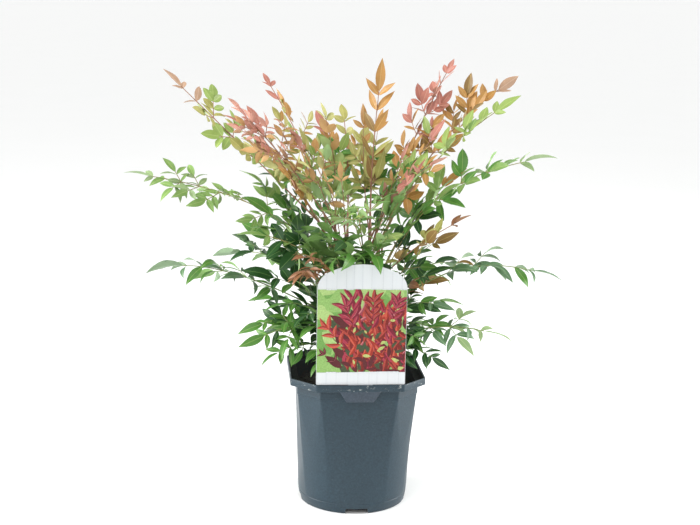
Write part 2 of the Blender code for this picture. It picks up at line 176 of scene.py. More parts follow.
# Leaf stalks and the twigs that grow on from them
STALK_RADIUS = 0.0016
STALK_TIP_RADIUS = 0.0009
RACHIS_TIP_RADIUS = 0.00050
TWIG_RADIUS = 0.00062
TWIG_TIP_RADIUS = 0.00040
STALK_SIDES = 9
TWIG_SIDES = 5
STALK_RING_STEP = 0.0030
KNUCKLE_SWELL = 0.45            # a spray's line is thicker where twigs leave it
KNUCKLE_LENGTH = 0.0022
INNER_STALK = 0.72              # stalks of the smaller sprays are thinner by this share

# Sprays, with lengths in millimetres and angles in degrees. The first line of a row is its shape: the
# mass that it replaces (the smaller inner sprays fill the crown between the masses), its cane, height
# where the stalk leaves the cane (None is the cane's tip), azimuth, elbow of the arch (distance from
# the axis, height), tip, share of the arch that is bare stalk, half width and bank.
# The second line is its look: tints from its foot to its tip, length of a leaflet, how far twigs and
# leaflets lean up towards the light (0 to 1), bend of a leaflet in radians, twig colour, angle by which
# the spray turns its face towards the front, breadth of a leaflet (0 to 1), and four that may be left
# out: how many of the outer nodes bear single leaflets, reach of the twigs, length of the leaflet at
# the tip as a share of the others, and the step between the outer twigs.
Spray = namedtuple("Spray", "name cane leave azimuth elbow tip bare half_width bank "
                            "tints size lean bend twig tilt breadth singles reach terminal step",
                   defaults=[1, 1.0, 1.28, 24])
INNER = "inner"                 # how the names of the smaller sprays begin
SPRAYS = [
    ("upper_left", "left", None, 172, (144, 454), (246, 549), 0.26, 30, 20,
     "lime olive lime olive blush", 25, 0.15, 0.3, "red", -45, 0.9, 1, 1.1, 1.28, 26),
    ("coral_left", "front_left", None, 200, (84, 440), (175, 522), 0.25, 30, -15,
     "olive olive orange coral coral", 27, 0.1, 0.55, "red", 20, 0.2, 1, 1.4, 0.9, 21),
    ("coral_back_left", "back_left", 312, 138, (78, 455), (160, 541), 0.28, 30, 15,
     "olive olive orange coral", 23, 0.4, 0.25, "red", -10, 0.5, 1, 1.2, 0.9),
    ("red_back", "back_left", None, 94, (66, 436), (146, 498), 0.22, 31, 0,
     "lime orange olive olive", 24, 0.4, 0.25, "red", 0, 0.9, 1, 1.1),
    ("tall", "back_right", None, 52, (26, 440), (52, 566), 0.15, 30, 0,
     "olive amber orange orange", 38, 0.55, 0.15, "red", 0, 0.0, 3, 1.0, 1.15),
    ("coral_right", "back_right", 328, 33, (99, 493), (156, 564), 0.36, 26, -12,
     "orange coral coral", 25, 0.5, 0.15, "red", 10, 0.6, 1, 1.3, 0.8, 19),
    ("bronze_right", "back_right", 300, 15, (82, 472), (218, 544), 0.3, 28, 10,
     "lime orange amber orange blush", 27, 0.5, 0.2, "red", 25, 0.4, 1, 1.2),
    ("lime_right", "right", None, -11, (75, 450), (198, 527), 0.26, 27, -10,
     "orange lime lime light lime", 28, 0.3, 0.3, "olive", 40, 0.5, 1, 1.1),
    ("red_front_right", "front_right", None, -52, (62, 424), (152, 462), 0.22, 30, 10,
     "rust coral coral", 25, 0.3, 0.3, "red", 10, 0.4),
    ("green_right", "right", 290, -17, (70, 430), (247, 457), 0.22, 30, 8,
     "dark mid light mid light pale", 34, 0.3, 0.5, "olive", 22, 0.5, 1, 0.9),
    ("bronze_low_right", "front_right", 272, -40, (56, 330), (165, 391), 0.26, 30, 12,
     "olive amber olive amber rust", 23, 0.4, 0.25, "red", 20, 0.9, 1, 1.1, 1.28, 27),
    ("left_mid", "left", 295, 180, (84, 400), (292, 424), 0.14, 32, 5,
     "mid light light pale light pale", 27, 0.06, 0.7, "olive", -25, 0.1, 1, 1.2, 1.28, 18),
    ("dark_left", "front_left", 284, 207, (86, 359), (172, 362), 0.22, 29, -12,
     "light dark dark light", 33, 0.1, 0.45, "olive", -30, 0.8),
    ("front", "front_right", 300, 264, (62, 402), (184, 410), 0.2, 38, 0,
     "lime light mid light", 28, 0.12, 0.7, "olive", 0, -0.5, 1, 1.0, 1.28, 31),
    ("front_left", "front_left", 266, 238, (94, 353), (160, 339), 0.32, 25, 10,
     "olive rust rust", 26, 0.0, 1.1, "red", 0, -0.5, 9, 1.0, 1.0, 13),
    ("back_mid_right", "back_right", 268, 66, (84, 402), (226, 430), 0.2, 38, 8,
     "mid dark mid light", 29, 0.2, 0.55, "olive", 0, 0.0, 1, 1.0, 1.28, 28),
    ("back_mid_left", "back_left", 272, 122, (84, 396), (244, 424), 0.2, 38, -8,
     "mid dark mid light", 29, 0.2, 0.55, "olive", 0, 0.0, 1, 1.0, 1.28, 28),
    ("right_low", "right", 235, -6, (129, 350), (264, 291), 0.24, 36, -6,
     "amber blue blue mid blue", 36, 0.0, 1.1, "green", 14, -0.1, 2, 1.0, 1.28, 22),
    ("right_lowest", "right", 202, -28, (112, 262), (213, 233), 0.28, 32, 8,
     "mid blue pale blue pale", 34, 0.0, 1.0, "green", 14, -0.1, 1, 1.0, 1.28, 21),
    ("left_low", "left", 238, 185, (198, 338), (267, 300), 0.22, 34, 6,
     "mid blue mid blue blue", 40, 0.0, 1.15, "green", -12, -0.2),
    ("left_lowest", "front_left", 214, 211, (92, 262), (172, 220), 0.26, 34, -6,
     "dark mid dark mid", 30, 0.05, 0.7, "green", -14, 0.1, 1, 1.0, 1.28, 19),
    ("back_low_right", "back_right", 212, 40, (118, 326), (214, 272), 0.24, 36, 6,
     "dark mid dark blue", 35, 0.1, 0.75, "green", 0, 0.4),
    ("back_low", "back_left", 206, 88, (112, 308), (232, 264), 0.24, 38, -5,
     "dark dark mid light", 35, 0.1, 0.7, "green", 0, 0.4),
    ("back_low_left", "back_left", 232, 140, (128, 336), (235, 286), 0.24, 36, 6,
     "dark mid dark blue", 35, 0.1, 0.75, "green", 0, 0.4),
    ("front_low", "front_right", 205, 262, (52, 262), (72, 252), 0.12, 24, 0,
     "dark dark", 28, 0.05, 0.6, "green", 0, 0.4),
    ("inner_front", "front_left", 318, 250, (44, 372), (96, 452), 0.24, 30, 0,
     "mid lime lime orange", 23, 0.3, 0.5, "red", 0, -0.4, 1, 1.0, 1.28, 28),
    ("inner_front_right", "front_right", 322, 300, (46, 384), (104, 476), 0.24, 30, 8,
     "mid lime orange coral", 24, 0.35, 0.4, "red", 0, -0.4, 1, 1.0, 1.28, 30),
    ("inner_centre", "back_right", 338, 80, (34, 420), (72, 506), 0.22, 30, 0,
     "olive olive orange orange", 24, 0.45, 0.3, "red", 0, 0.4),
    ("inner_centre_left", "left", 322, 150, (52, 404), (106, 490), 0.24, 30, -8,
     "lime lime orange lime", 24, 0.4, 0.35, "red", 0, 0.6),
    ("inner_top_left", "front_left", 326, 214, (50, 410), (108, 486), 0.24, 28, 10,
     "light orange olive coral", 24, 0.4, 0.35, "red", 0, 0.5, 1, 1.2),
    ("inner_top_right", "right", 324, 8, (46, 410), (112, 492), 0.24, 28, -8,
     "orange lime orange coral", 26, 0.45, 0.3, "red", 10, 0.5),
    ("inner_coral", "left", 325, 160, (94, 440), (152, 502), 0.3, 28, -20,
     "olive orange olive coral", 25, 0.15, 0.6, "red", 10, 0.3, 1, 1.2, 1.28, 26),
    ("inner_coral_cluster", "left", 330, 205, (108, 452), (172, 516), 0.34, 26, -20,
     "orange rust coral coral", 22, 0.1, 0.5, "red", 15, 0.1, 1, 1.4, 1.2, 20),
    ("inner_ellipse", "left", 332, 236, (40, 430), (96, 520), 0.34, 26, 0,
     "lime lime orange olive", 23, 0.45, 0.25, "red", 0, 1.0, 2, 1.0, 1.0, 22),
    ("inner_cluster", "front_left", 328, 232, (50, 400), (88, 446), 0.22, 28, 0,
     "lime lime olive orange", 22, 0.3, 0.45, "red", 0, -0.3, 1, 1.0, 1.28, 28),
    ("inner_upright", "front_right", 318, 310, (60, 400), (120, 450), 0.24, 28, 20,
     "mid light light", 40, 0.55, 0.25, "olive", 10, 0.3),
    ("inner_right", "right", 268, -32, (58, 372), (138, 424), 0.22, 30, 8,
     "dark mid light", 32, 0.25, 0.55, "olive", 30, 0.4),
    ("inner_right_mid", "right", 290, 4, (70, 392), (140, 430), 0.22, 30, -8,
     "mid light orange", 28, 0.3, 0.45, "olive", 20, 0.4),
    ("inner_right_low", "right", 250, -14, (72, 344), (130, 352), 0.22, 30, 0,
     "dark mid amber", 27, 0.15, 0.6, "olive", 30, 0.4),
    ("inner_left", "left", 262, 196, (62, 356), (150, 398), 0.2, 30, 0,
     "mid dark mid", 32, 0.1, 0.55, "olive", -20, 0.6),
    ("inner_left_big", "front_left", 290, 200, (84, 362), (146, 366), 0.24, 30, -14,
     "light light mid", 32, 0.1, 0.55, "olive", -20, 0.7),
    ("inner_left_mid", "left", 280, 158, (80, 388), (160, 420), 0.22, 30, 8,
     "dark mid light", 30, 0.25, 0.45, "olive", -30, 0.6),
    ("inner_left_low", "left", 250, 172, (76, 340), (150, 352), 0.22, 30, 0,
     "dark dark mid", 34, 0.1, 0.6, "green", -30, 0.5),
    ("inner_low_left", "front_left", 230, 196, (70, 300), (152, 306), 0.2, 32, 6,
     "dark mid dark", 35, 0.1, 0.6, "green", -30, 0.5),
    ("inner_low_right", "front_right", 236, -34, (82, 314), (136, 318), 0.2, 30, -6,
     "mid rust dark", 33, 0.1, 0.6, "green", 20, 0.4),
    ("inner_dense_left", "left", 214, 200, (92, 268), (158, 228), 0.2, 32, 0,
     "dark mid dark mid", 28, 0.0, 0.75, "green", -14, 0.1, 1, 1.0, 1.28, 18),
    ("inner_dense_left_mid", "front_left", 226, 206, (76, 284), (134, 262), 0.18, 32, 0,
     "dark dark mid", 32, 0.05, 0.65, "green", -14, 0.2),
    ("inner_dense_left_low", "left", 204, 190, (70, 250), (122, 234), 0.18, 30, 0,
     "dark dark mid", 34, 0.0, 0.7, "green", -20, 0.5),
    ("inner_dense_right", "right", 212, -24, (74, 258), (120, 226), 0.18, 30, 0,
     "dark dark mid", 29, 0.0, 0.7, "green", 20, 0.2, 1, 1.0, 1.1, 18),
    ("inner_front_low", "front_left", 246, 258, (44, 326), (98, 356), 0.2, 30, 0,
     "dark mid mid", 36, 0.05, 0.8, "olive", 0, 0.2, 1, 1.1, 1.1, 19),
    ("inner_front_mid", "front_right", 262, 282, (50, 340), (112, 368), 0.2, 30, 6,
     "dark mid light", 34, 0.05, 0.8, "olive", 0, -0.2, 1, 1.0, 1.1, 24),
    ("inner_over_left", "front_left", 286, 236, (60, 376), (134, 366), 0.26, 30, 0,
     "mid light dark", 37, 0.05, 0.8, "olive", -8, 0.3, 1, 1.1, 1.1, 19),
    ("inner_over_middle", "front_left", 284, 256, (58, 378), (132, 346), 0.26, 30, 0,
     "mid mid dark", 38, 0.0, 0.9, "olive", 0, 0.1, 1, 1.1, 1.1, 18),
    ("inner_over_right", "front_right", 284, 292, (58, 374), (120, 358), 0.26, 30, 0,
     "mid mid lime", 35, 0.05, 0.8, "olive", 8, 0.2, 1, 1.1, 1.1, 19),
    ("inner_rim_left_fill", "front_left", 206, 226, (66, 262), (112, 232), 0.22, 28, 0,
     "dark mid mid", 33, 0.0, 0.75, "green", -8, 0.2, 1, 1.1, 1.1, 16),
    ("inner_rim_left_low", "front_left", 182, 222, (52, 214), (82, 176), 0.2, 24, 0,
     "dark mid mid", 27, 0.0, 0.7, "green", -4, 0.1, 2, 1.0, 1.0, 12),
    ("inner_fringe", "front_left", 270, 262, (64, 372), (122, 318), 0.24, 24, 0,
     "mid light mid", 40, 0.0, 1.2, "olive", 0, -0.6),
    ("inner_fringe_left", "front_left", 262, 249, (74, 366), (132, 318), 0.26, 22, 0,
     "light mid mid", 38, 0.0, 1.1, "olive", 0, -0.6),
    ("inner_fringe_right", "front_right", 268, 279, (64, 372), (120, 320), 0.24, 22, 0,
     "mid light mid", 38, 0.0, 1.1, "olive", 0, -0.6),
    ("inner_rust", "front_left", 258, 230, (82, 348), (136, 302), 0.24, 22, 0,
     "rust rust", 27, 0.0, 1.2, "red", 0, -0.6, 9, 1.0, 1.0, 7),
    ("inner_rust_low", "front_left", 254, 224, (72, 336), (122, 300), 0.3, 22, 10,
     "rust rust rust", 24, 0.0, 1.1, "red", 0, -0.6, 9, 1.0, 1.0, 8),
    ("inner_dense_left_front", "front_left", 216, 224, (72, 282), (118, 246), 0.2, 28, 0,
     "dark mid dark", 29, 0.0, 0.75, "green", 0, 0.1, 1, 1.0, 1.1, 18),
    ("inner_dense_right_low", "front_right", 206, -46, (72, 254), (122, 220), 0.2, 28, 0,
     "dark dark mid", 27, 0.0, 0.6, "green", 10, 0.1, 1, 1.0, 1.0, 15),
    ("inner_dense_right_mid", "right", 226, -34, (78, 290), (138, 264), 0.2, 28, 0,
     "dark mid blue", 29, 0.05, 0.65, "green", 15, 0.2, 1, 1.0, 1.1, 18),
    ("inner_label_right", "front_right", 222, -58, (74, 288), (116, 252), 0.2, 28, 0,
     "dark dark mid", 29, 0.0, 0.65, "green", 10, 0.1, 1, 1.0, 1.1, 18),
    ("inner_rim_left", "front_left", 190, 213, (80, 238), (148, 198), 0.2, 26, 0,
     "dark mid mid", 29, 0.0, 0.7, "green", -20, 0.2, 1, 1.0, 1.1, 18),
    ("inner_rim_left_front", "front_left", 186, 231, (72, 228), (108, 202), 0.18, 26, 0,
     "dark mid", 29, 0.0, 0.8, "green", 0, 0.1, 2, 1.0, 1.0, 14),
    ("inner_rim_left_label", "front_left", 192, 238, (62, 236), (92, 204), 0.2, 26, 0,
     "dark dark mid", 30, 0.0, 0.8, "green", 0, 0.1, 2, 1.0, 1.0, 14),
    ("inner_rim_right_label", "front_right", 192, 304, (62, 236), (104, 200), 0.2, 26, 0,
     "dark dark", 28, 0.0, 0.8, "green", 0, 0.1, 2, 1.0, 1.0, 14),
    ("inner_rim_right_fill", "right", 190, -50, (74, 228), (104, 190), 0.2, 26, 0,
     "dark mid dark", 29, 0.0, 0.75, "green", 8, 0.1, 2, 1.0, 1.0, 12),
    ("inner_rim_right", "right", 192, -40, (86, 234), (140, 192), 0.2, 26, 0,
     "dark dark", 29, 0.0, 0.65, "green", 20, 0.0, 2, 1.0, 1.0, 12),
    ("inner_rim_right_front", "front_right", 190, -56, (76, 228), (116, 202), 0.18, 26, 0,
     "dark dark", 26, 0.0, 0.7, "green", 0, 0.0, 2, 1.0, 1.0, 12),
    ("inner_back", "back_right", 300, 96, (48, 366), (118, 420), 0.22, 32, 0,
     "mid olive lime", 27, 0.25, 0.5, "olive", 0, -0.3, 1, 1.0, 1.28, 32),
    ("inner_back_up", "back_right", 340, 70, (58, 430), (116, 496), 0.24, 30, 0,
     "mid olive orange", 26, 0.4, 0.3, "red", 0, 0.6),
    ("inner_back_up_left", "back_left", 335, 112, (60, 430), (126, 492), 0.24, 30, 0,
     "mid lime coral", 26, 0.4, 0.3, "red", 0, 0.6),
    ("inner_back_up_right", "back_right", 330, 30, (60, 420), (120, 478), 0.24, 30, 0,
     "mid orange amber", 27, 0.4, 0.3, "red", 0, 0.5),
    ("inner_back_mid", "back_left", 290, 92, (70, 380), (150, 410), 0.22, 32, 0,
     "mid light lime", 28, 0.25, 0.5, "olive", 0, -0.2, 1, 1.0, 1.28, 32),
    ("inner_back_low", "back_left", 240, 108, (62, 306), (148, 316), 0.22, 32, 0,
     "dark mid dark", 34, 0.1, 0.6, "green", 0, 0.4),
    ("inner_back_low_mid", "back_right", 216, 84, (88, 280), (168, 248), 0.24, 32, 0,
     "dark mid blue", 34, 0.05, 0.65, "green", 0, 0.4),
    ("inner_back_side_left", "back_left", 214, 150, (84, 268), (160, 240), 0.24, 32, 0,
     "dark dark mid", 34, 0.05, 0.65, "green", 0, 0.4),
    ("inner_back_side_right", "back_right", 214, 22, (84, 268), (160, 240), 0.24, 32, 0,
     "dark dark mid", 34, 0.05, 0.65, "green", 0, 0.4),
    ("inner_back_low_right", "back_right", 226, 62, (72, 290), (146, 282), 0.22, 32, 0,
     "dark dark mid", 34, 0.05, 0.65, "green", 0, 0.4),
    ("inner_back_low_left", "back_left", 226, 122, (70, 290), (142, 284), 0.22, 32, 0,
     "dark mid dark", 34, 0.05, 0.65, "green", 0, 0.4),
    ("inner_back_rim", "back_right", 198, 66, (54, 236), (112, 212), 0.22, 28, 0,
     "dark mid", 32, 0.0, 0.7, "green", 0, 0.4),
    ("inner_back_rim_left", "back_left", 198, 128, (54, 236), (108, 212), 0.22, 28, 0,
     "dark dark", 32, 0.0, 0.7, "green", 0, 0.4),
    ("inner_back_rim_right", "back_right", 194, 30, (76, 238), (124, 208), 0.22, 28, 0,
     "dark mid", 32, 0.0, 0.7, "green", 0, 0.4),
    ("inner_back_rim_far_left", "back_left", 194, 154, (76, 238), (124, 208), 0.22, 28, 0,
     "dark mid", 32, 0.0, 0.7, "green", 0, 0.4),
]

# Branching rule
STEP_GROWTH = 1.14              # each step inwards is longer by this much
TWIG_ANGLE = (46, 66)           # degrees between a twig and the spray's line
TINT_MIXING = 0.16              # as a share of the spray's length
PAIR_ANGLE = (45, 72)
PAIR_SIZE = (0.66, 0.94)
MOST_PAIRS = 3                  # on a side twig
PAIR_STEP = 0.42                # between them, as a share of a leaflet's length
PAIR_GAP = 0.13                 # from the last pair to the end leaflet, in the same measure
TWIG_REACH = (0.85, 1.25)       # as a share of the mass's half width
TWIG_ROLL = 38                  # degrees that a twig may turn out of the spray's plane
LEAFLET_ROLL = 50               # and a leaflet, about its own midrib
SLENDER = (0.29, 0.35)          # width of the narrowest leaflets as a share of their length
BROAD = (0.44, 0.56)            # and of the broadest
TRIES = 8                       # before a leaflet that would cut the pot or label is left out
LABEL_KEEP_OFF = 0.0025         # of a leaflet's midrib from the label, and from the pot's wall
POT_KEEP_OFF = 0.003
RIM_KEEP_OFF = POT_HEIGHT + 0.0015   # a leaflet may pass over the rim from this height up
SIZE_RANGE = (0.86, 1.12)       # of the leaflets of a twig, as a share of the spray's
BEND_RANGE = (0.6, 1.4)
SINGLE_SIZE = (0.8, 1.0)        # of the leaflets that stand alone on a spray's line

# Leaflet
LEAF_ROWS = 8
UNDERSIDE_SLOT = 1              # of a leaflet's three materials: blade, underside, midrib
RIB_SLOT = 2
LEAF_COLUMNS = (-1.0, -0.55, 0.55, 1.0)
MIDRIB_HALF = 0.00030
LEAF_THICKNESS = 0.00028
UNDERSIDE_DEPTHS = (1.0, 1.9, 1.9, 1.0)   # of its columns, deepest under the midrib
LEAF_TWIST = 0.45               # radians, either way
LEAF_WAVE = 0.05
LEAF_BASE_POWER = 0.95
LEAF_TIP_POWER = 1.25
ROUND_BASE_POWER = 0.72         # of the broadest leaflets
ROUND_TIP_POWER = 0.80
LEAF_FOLD = (0.10, 0.42)        # height of the blade's edges over its midrib, for a unit half width

# Tints: upper side, underside, midrib, roughness, group name
TINTS = {
    "dark": ((0.015, 0.064, 0.013), (0.070, 0.150, 0.050), (0.160, 0.290, 0.090), 0.34, "leaf_dark"),
    "blue": ((0.086, 0.176, 0.080), (0.215, 0.315, 0.184), (0.270, 0.380, 0.210), 0.36, "leaf_dark"),
    "mid": ((0.074, 0.205, 0.032), (0.165, 0.300, 0.084), (0.290, 0.420, 0.120), 0.36, "leaf_green"),
    "light": ((0.180, 0.310, 0.080), (0.240, 0.365, 0.145), (0.390, 0.500, 0.190), 0.40, "leaf_green"),
    "pale": ((0.235, 0.340, 0.150), (0.290, 0.395, 0.205), (0.430, 0.530, 0.270), 0.42, "leaf_green"),
    "lime": ((0.245, 0.345, 0.085), (0.300, 0.400, 0.140), (0.470, 0.560, 0.200), 0.42, "leaf_olive"),
    "olive": ((0.350, 0.335, 0.098), (0.400, 0.395, 0.155), (0.560, 0.540, 0.220), 0.42, "leaf_olive"),
    "amber": ((0.225, 0.132, 0.036), (0.290, 0.190, 0.066), (0.460, 0.340, 0.110), 0.40, "leaf_bronze"),
    "rust": ((0.205, 0.088, 0.038), (0.270, 0.140, 0.068), (0.430, 0.240, 0.100), 0.42, "leaf_bronze"),
    "orange": ((0.415, 0.218, 0.062), (0.480, 0.285, 0.115), (0.600, 0.410, 0.160), 0.40, "leaf_coral"),
    "coral": ((0.410, 0.160, 0.120), (0.460, 0.225, 0.170), (0.640, 0.370, 0.270), 0.42, "leaf_coral"),
    "blush": ((0.400, 0.255, 0.165), (0.430, 0.300, 0.215), (0.620, 0.450, 0.340), 0.44, "leaf_coral"),
}
TWIG_COLOURS = {
    "red": (0.300, 0.140, 0.085),
    "olive": (0.255, 0.225, 0.075),
    "green": (0.215, 0.270, 0.085),
}


# Small helpers

def polar(distance, azimuth, height):
    angle = math.radians(azimuth)
    return Vector((distance * math.cos(angle), distance * math.sin(angle), height))


def mix(low, high, share):
    return low + (high - low) * share


def turned(direction, axis, degrees):
    return Matrix.Rotation(math.radians(degrees), 3, axis) @ direction


def across_to(direction, towards):
    """The part of one direction that is square to another, as a unit vector."""
    square = towards - direction * towards.dot(direction)
    if square.length < 1e-6:
        square = direction.orthogonal()
    return square.normalized()


def new_object(name, data):
    """A linked object that holds a mesh, a lamp or a camera."""
    thing = bpy.data.objects.new(name, data)
    bpy.context.scene.collection.objects.link(thing)
    return thing


def object_from_mesh(name, mesh, materials, smooth_angle):
    for material in materials:
        mesh.materials.append(material)
    mesh.shade_smooth()
    mesh.set_sharp_from_angle(angle=math.radians(smooth_angle))
    return new_object(name, mesh)


def object_from_bmesh(name, bm, materials, smooth_angle=35):
    mesh = bpy.data.meshes.new(name)
    bmesh.ops.recalc_face_normals(bm, faces=bm.faces)
    bm.to_mesh(mesh)
    bm.free()
    return object_from_mesh(name, mesh, materials, smooth_angle)


class Batch:
    """Points and faces collected for one joined piece."""

    def __init__(self):
        self.points = []
        self.faces = []
        self.slots = []

    def add(self, points, faces, slots):
        first = len(self.points)
        self.points.extend(points)
        self.faces.extend([tuple(first + index for index in face) for face in faces])
        self.slots.extend(slots)

    def build(self, name, materials, smooth_angle=40):
        mesh = bpy.data.meshes.new(name)
        mesh.from_pydata([tuple(point) for point in self.points], [], self.faces)
        mesh.polygons.foreach_set("material_index", self.slots)
        thing = object_from_mesh(name, mesh, materials, smooth_angle)
        mesh.validate()
        return thing


def finish_piece(thing, nodes):
    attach(thing, BODY)
    if nodes:
        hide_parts(*nodes)


# Materials

class Shader:
    """A material's nodes, with short calls for the few kinds that this script uses."""

    def __init__(self, name, colour, roughness, specular=0.5):
        self.material = bpy.data.materials.new(name)
        self.material.use_nodes = True
        self.tree = self.material.node_tree
        self.surface = self.tree.nodes["Principled BSDF"]
        self.surface.inputs["Base Color"].default_value = (*colour, 1.0)
        self.surface.inputs["Roughness"].default_value = roughness
        self.surface.inputs["Specular IOR Level"].default_value = specular
        self.place = self.tree.nodes.new("ShaderNodeTexCoord").outputs["Object"]

    def link(self, source, target):
        self.tree.links.new(source, target)

    def stretched(self, scale):
        mapping = self.tree.nodes.new("ShaderNodeMapping")
        mapping.inputs["Scale"].default_value = scale
        self.link(self.place, mapping.inputs["Vector"])
        return mapping.outputs["Vector"]

    def noise(self, scale, detail=4.0, roughness=0.55, vector=None):
        node = self.tree.nodes.new("ShaderNodeTexNoise")
        node.inputs["Scale"].default_value = scale
        node.inputs["Detail"].default_value = detail
        node.inputs["Roughness"].default_value = roughness
        self.link(vector or self.place, node.inputs["Vector"])
        return node.outputs["Fac"]

    def ramp(self, factor, stops):
        node = self.tree.nodes.new("ShaderNodeValToRGB")
        elements = node.color_ramp.elements
        while len(elements) < len(stops):
            elements.new(0.5)
        for element, (position, colour) in zip(elements, stops):
            element.position = position
            element.color = (*colour, 1.0) if isinstance(colour, tuple) else (colour,) * 3 + (1.0,)
        self.link(factor, node.inputs["Fac"])
        return node.outputs["Color"]

    def maths(self, operation, first, second):
        node = self.tree.nodes.new("ShaderNodeMath")
        node.operation = operation
        for socket, value in zip(node.inputs, (first, second)):
            if isinstance(value, (int, float)):
                socket.default_value = value
            else:
                self.link(value, socket)
        return node.outputs["Value"]

    def mixed(self, factor, first, second):
        node = self.tree.nodes.new("ShaderNodeMix")
        node.data_type = "RGBA"
        for name, value in (("Factor", factor), ("A", first), ("B", second)):
            socket = next(socket for socket in node.inputs if socket.name == name and socket.enabled)
            if isinstance(value, tuple):
                socket.default_value = (*value, 1.0)
            else:
                self.link(value, socket)
        return next(socket for socket in node.outputs if socket.enabled)

    def bump(self, height, distance, strength=1.0):
        node = self.tree.nodes.new("ShaderNodeBump")
        node.inputs["Strength"].default_value = strength
        node.inputs["Distance"].default_value = distance
        self.link(height, node.inputs["Height"])
        self.link(node.outputs["Normal"], self.surface.inputs["Normal"])

    def paint(self, colour):
        self.link(colour, self.surface.inputs["Base Color"])

    def polish(self, roughness):
        self.link(roughness, self.surface.inputs["Roughness"])


def shaded(colour, factor):
    return tuple(min(1.0, channel * factor) for channel in colour)


def leaf_material(name, colour, roughness):
    """A plain tint with faint cloudiness, fine veins and an uneven gloss."""
    shader = Shader(name, colour, roughness, specular=0.35)
    clouds = shader.noise(70.0, detail=2.0)
    shader.paint(shader.ramp(clouds, [(0.30, shaded(colour, 0.88)), (0.70, shaded(colour, 1.10))]))
    gloss = shader.noise(160.0, detail=2.0)
    shader.polish(shader.ramp(gloss, [(0.3, roughness - 0.05), (0.7, roughness + 0.09)]))
    veins = shader.noise(900.0, detail=3.0)
    shader.bump(veins, 0.00012, 0.5)
    return shader.material


def twig_material(name, colour):
    """Smooth bark with fine lengthways streaks and darker specks."""
    shader = Shader(name, colour, 0.5)
    streaks = shader.noise(500.0, detail=3.0, vector=shader.stretched((1.0, 1.0, 0.15)))
    patches = shader.noise(60.0, detail=2.0)
    tone = shader.ramp(streaks, [(0.30, shaded(colour, 0.68)), (0.70, shaded(colour, 1.22))])
    specks = shader.ramp(patches, [(0.45, 0.0), (0.75, 0.5)])
    shader.paint(shader.mixed(specks, tone, shaded(colour, 0.62)))
    shader.polish(shader.ramp(patches, [(0.3, 0.42), (0.7, 0.62)]))
    shader.bump(streaks, 0.0002, 0.6)
    return shader.material


def bark_material():
    """Old sheathed cane: brown-red, with pale dry fibres that run lengthways."""
    shader = Shader("cane_bark", (0.20, 0.09, 0.06), 0.7)
    fibres = shader.noise(700.0, detail=5.0, vector=shader.stretched((1.0, 1.0, 0.07)))
    patches = shader.noise(45.0, detail=4.0)
    young = shader.ramp(fibres, [
        (0.25, (0.085, 0.030, 0.022)),
        (0.55, (0.215, 0.085, 0.050)),
        (0.80, (0.36, 0.22, 0.13)),
    ])
    old = shader.ramp(fibres, [
        (0.25, (0.070, 0.045, 0.030)),
        (0.60, (0.230, 0.165, 0.105)),
        (0.85, (0.42, 0.35, 0.24)),
    ])
    shader.paint(shader.mixed(shader.ramp(patches, [(0.42, 0.0), (0.62, 1.0)]), young, old))
    shader.polish(shader.ramp(fibres, [(0.2, 0.55), (0.8, 0.82)]))
    shader.bump(fibres, 0.0006, 0.8)
    return shader.material


def rim_scuffs(shader):
    """Pale scratches that show on the rim's band only."""
    axes = shader.tree.nodes.new("ShaderNodeSeparateXYZ")
    shader.link(shader.place, axes.inputs["Vector"])
    band = (POT_HEIGHT - RIM_BAND) * HEIGHT_TO_RAMP
    height = shader.maths("MULTIPLY", axes.outputs["Z"], HEIGHT_TO_RAMP)
    in_band = shader.ramp(height, [(0.0, 0.0), (band - 0.001, 0.0), (band + 0.002, 1.0)])
    scratches = shader.noise(150.0, detail=6.0, roughness=0.8, vector=shader.stretched((1.0, 1.0, 2.2)))
    return shader.maths("MULTIPLY", shader.ramp(scratches, [(0.605, 0.0), (0.64, 0.9)]), in_band)


def pot_material(name, colour):
    """Satin blue-grey plastic: fine mottling, pale specks, and scuffs along the rim band."""
    shader = Shader(name, colour, 0.4, specular=0.32)
    mottle = shader.noise(420.0, detail=3.0)
    clouds = shader.noise(14.0, detail=3.0)
    specks = shader.noise(900.0, detail=1.0)
    tone = shader.ramp(mottle, [(0.30, shaded(colour, 0.78)), (0.70, shaded(colour, 1.25))])
    tone = shader.mixed(shader.ramp(clouds, [(0.35, 0.0), (0.75, 0.30)]), tone, shaded(colour, 1.35))
    tone = shader.mixed(shader.ramp(specks, [(0.76, 0.0), (0.79, 0.25)]), tone, (0.30, 0.32, 0.33))
    shader.paint(shader.mixed(rim_scuffs(shader), tone, (0.42, 0.44, 0.42)))
    shader.polish(shader.ramp(clouds, [(0.3, 0.34), (0.7, 0.46)]))
    shader.bump(mottle, 0.00008, 0.5)
    return shader.material


def pot_inner_painted_shade_material():
    """The same plastic inside and under the pot, tinted near-black as painted shade, and dulled by brownish
    splashes of compost.
    """
    # near-black: painted shade inside and under the pot, far darker than the plastic outside
    colour = (0.006, 0.010, 0.011)
    shader = Shader("pot_inner", colour, 0.7, specular=0.12)
    splashes = shader.noise(230.0, detail=5.0, roughness=0.7)
    shader.paint(shader.ramp(splashes, [(0.45, colour), (0.70, (0.022, 0.018, 0.014))]))
    shader.polish(shader.ramp(splashes, [(0.3, 0.60), (0.7, 0.90)]))
    shader.bump(splashes, 0.0002, 0.6)
    return shader.material


def compost_material(name, dark, light):
    """Dark crumbly peat, or chips of bark, with paler grains. The near-black tint of the peat is partly its
    own colour and partly painted shade under the foliage.
    """
    shader = Shader(name, dark, 0.95)
    grain = shader.noise(420.0, detail=6.0, roughness=0.7)
    fibres = shader.noise(160.0, detail=4.0)
    tone = shader.ramp(grain, [(0.35, dark), (0.60, shaded(dark, 2.2)), (0.80, light)])
    shader.paint(shader.mixed(shader.ramp(fibres, [(0.4, 0.0), (0.7, 0.5)]), tone, shaded(dark, 0.7)))
    shader.polish(shader.ramp(grain, [(0.3, 0.98), (0.8, 0.80)]))
    shader.bump(grain, 0.0014, 1.0)
    return shader.material


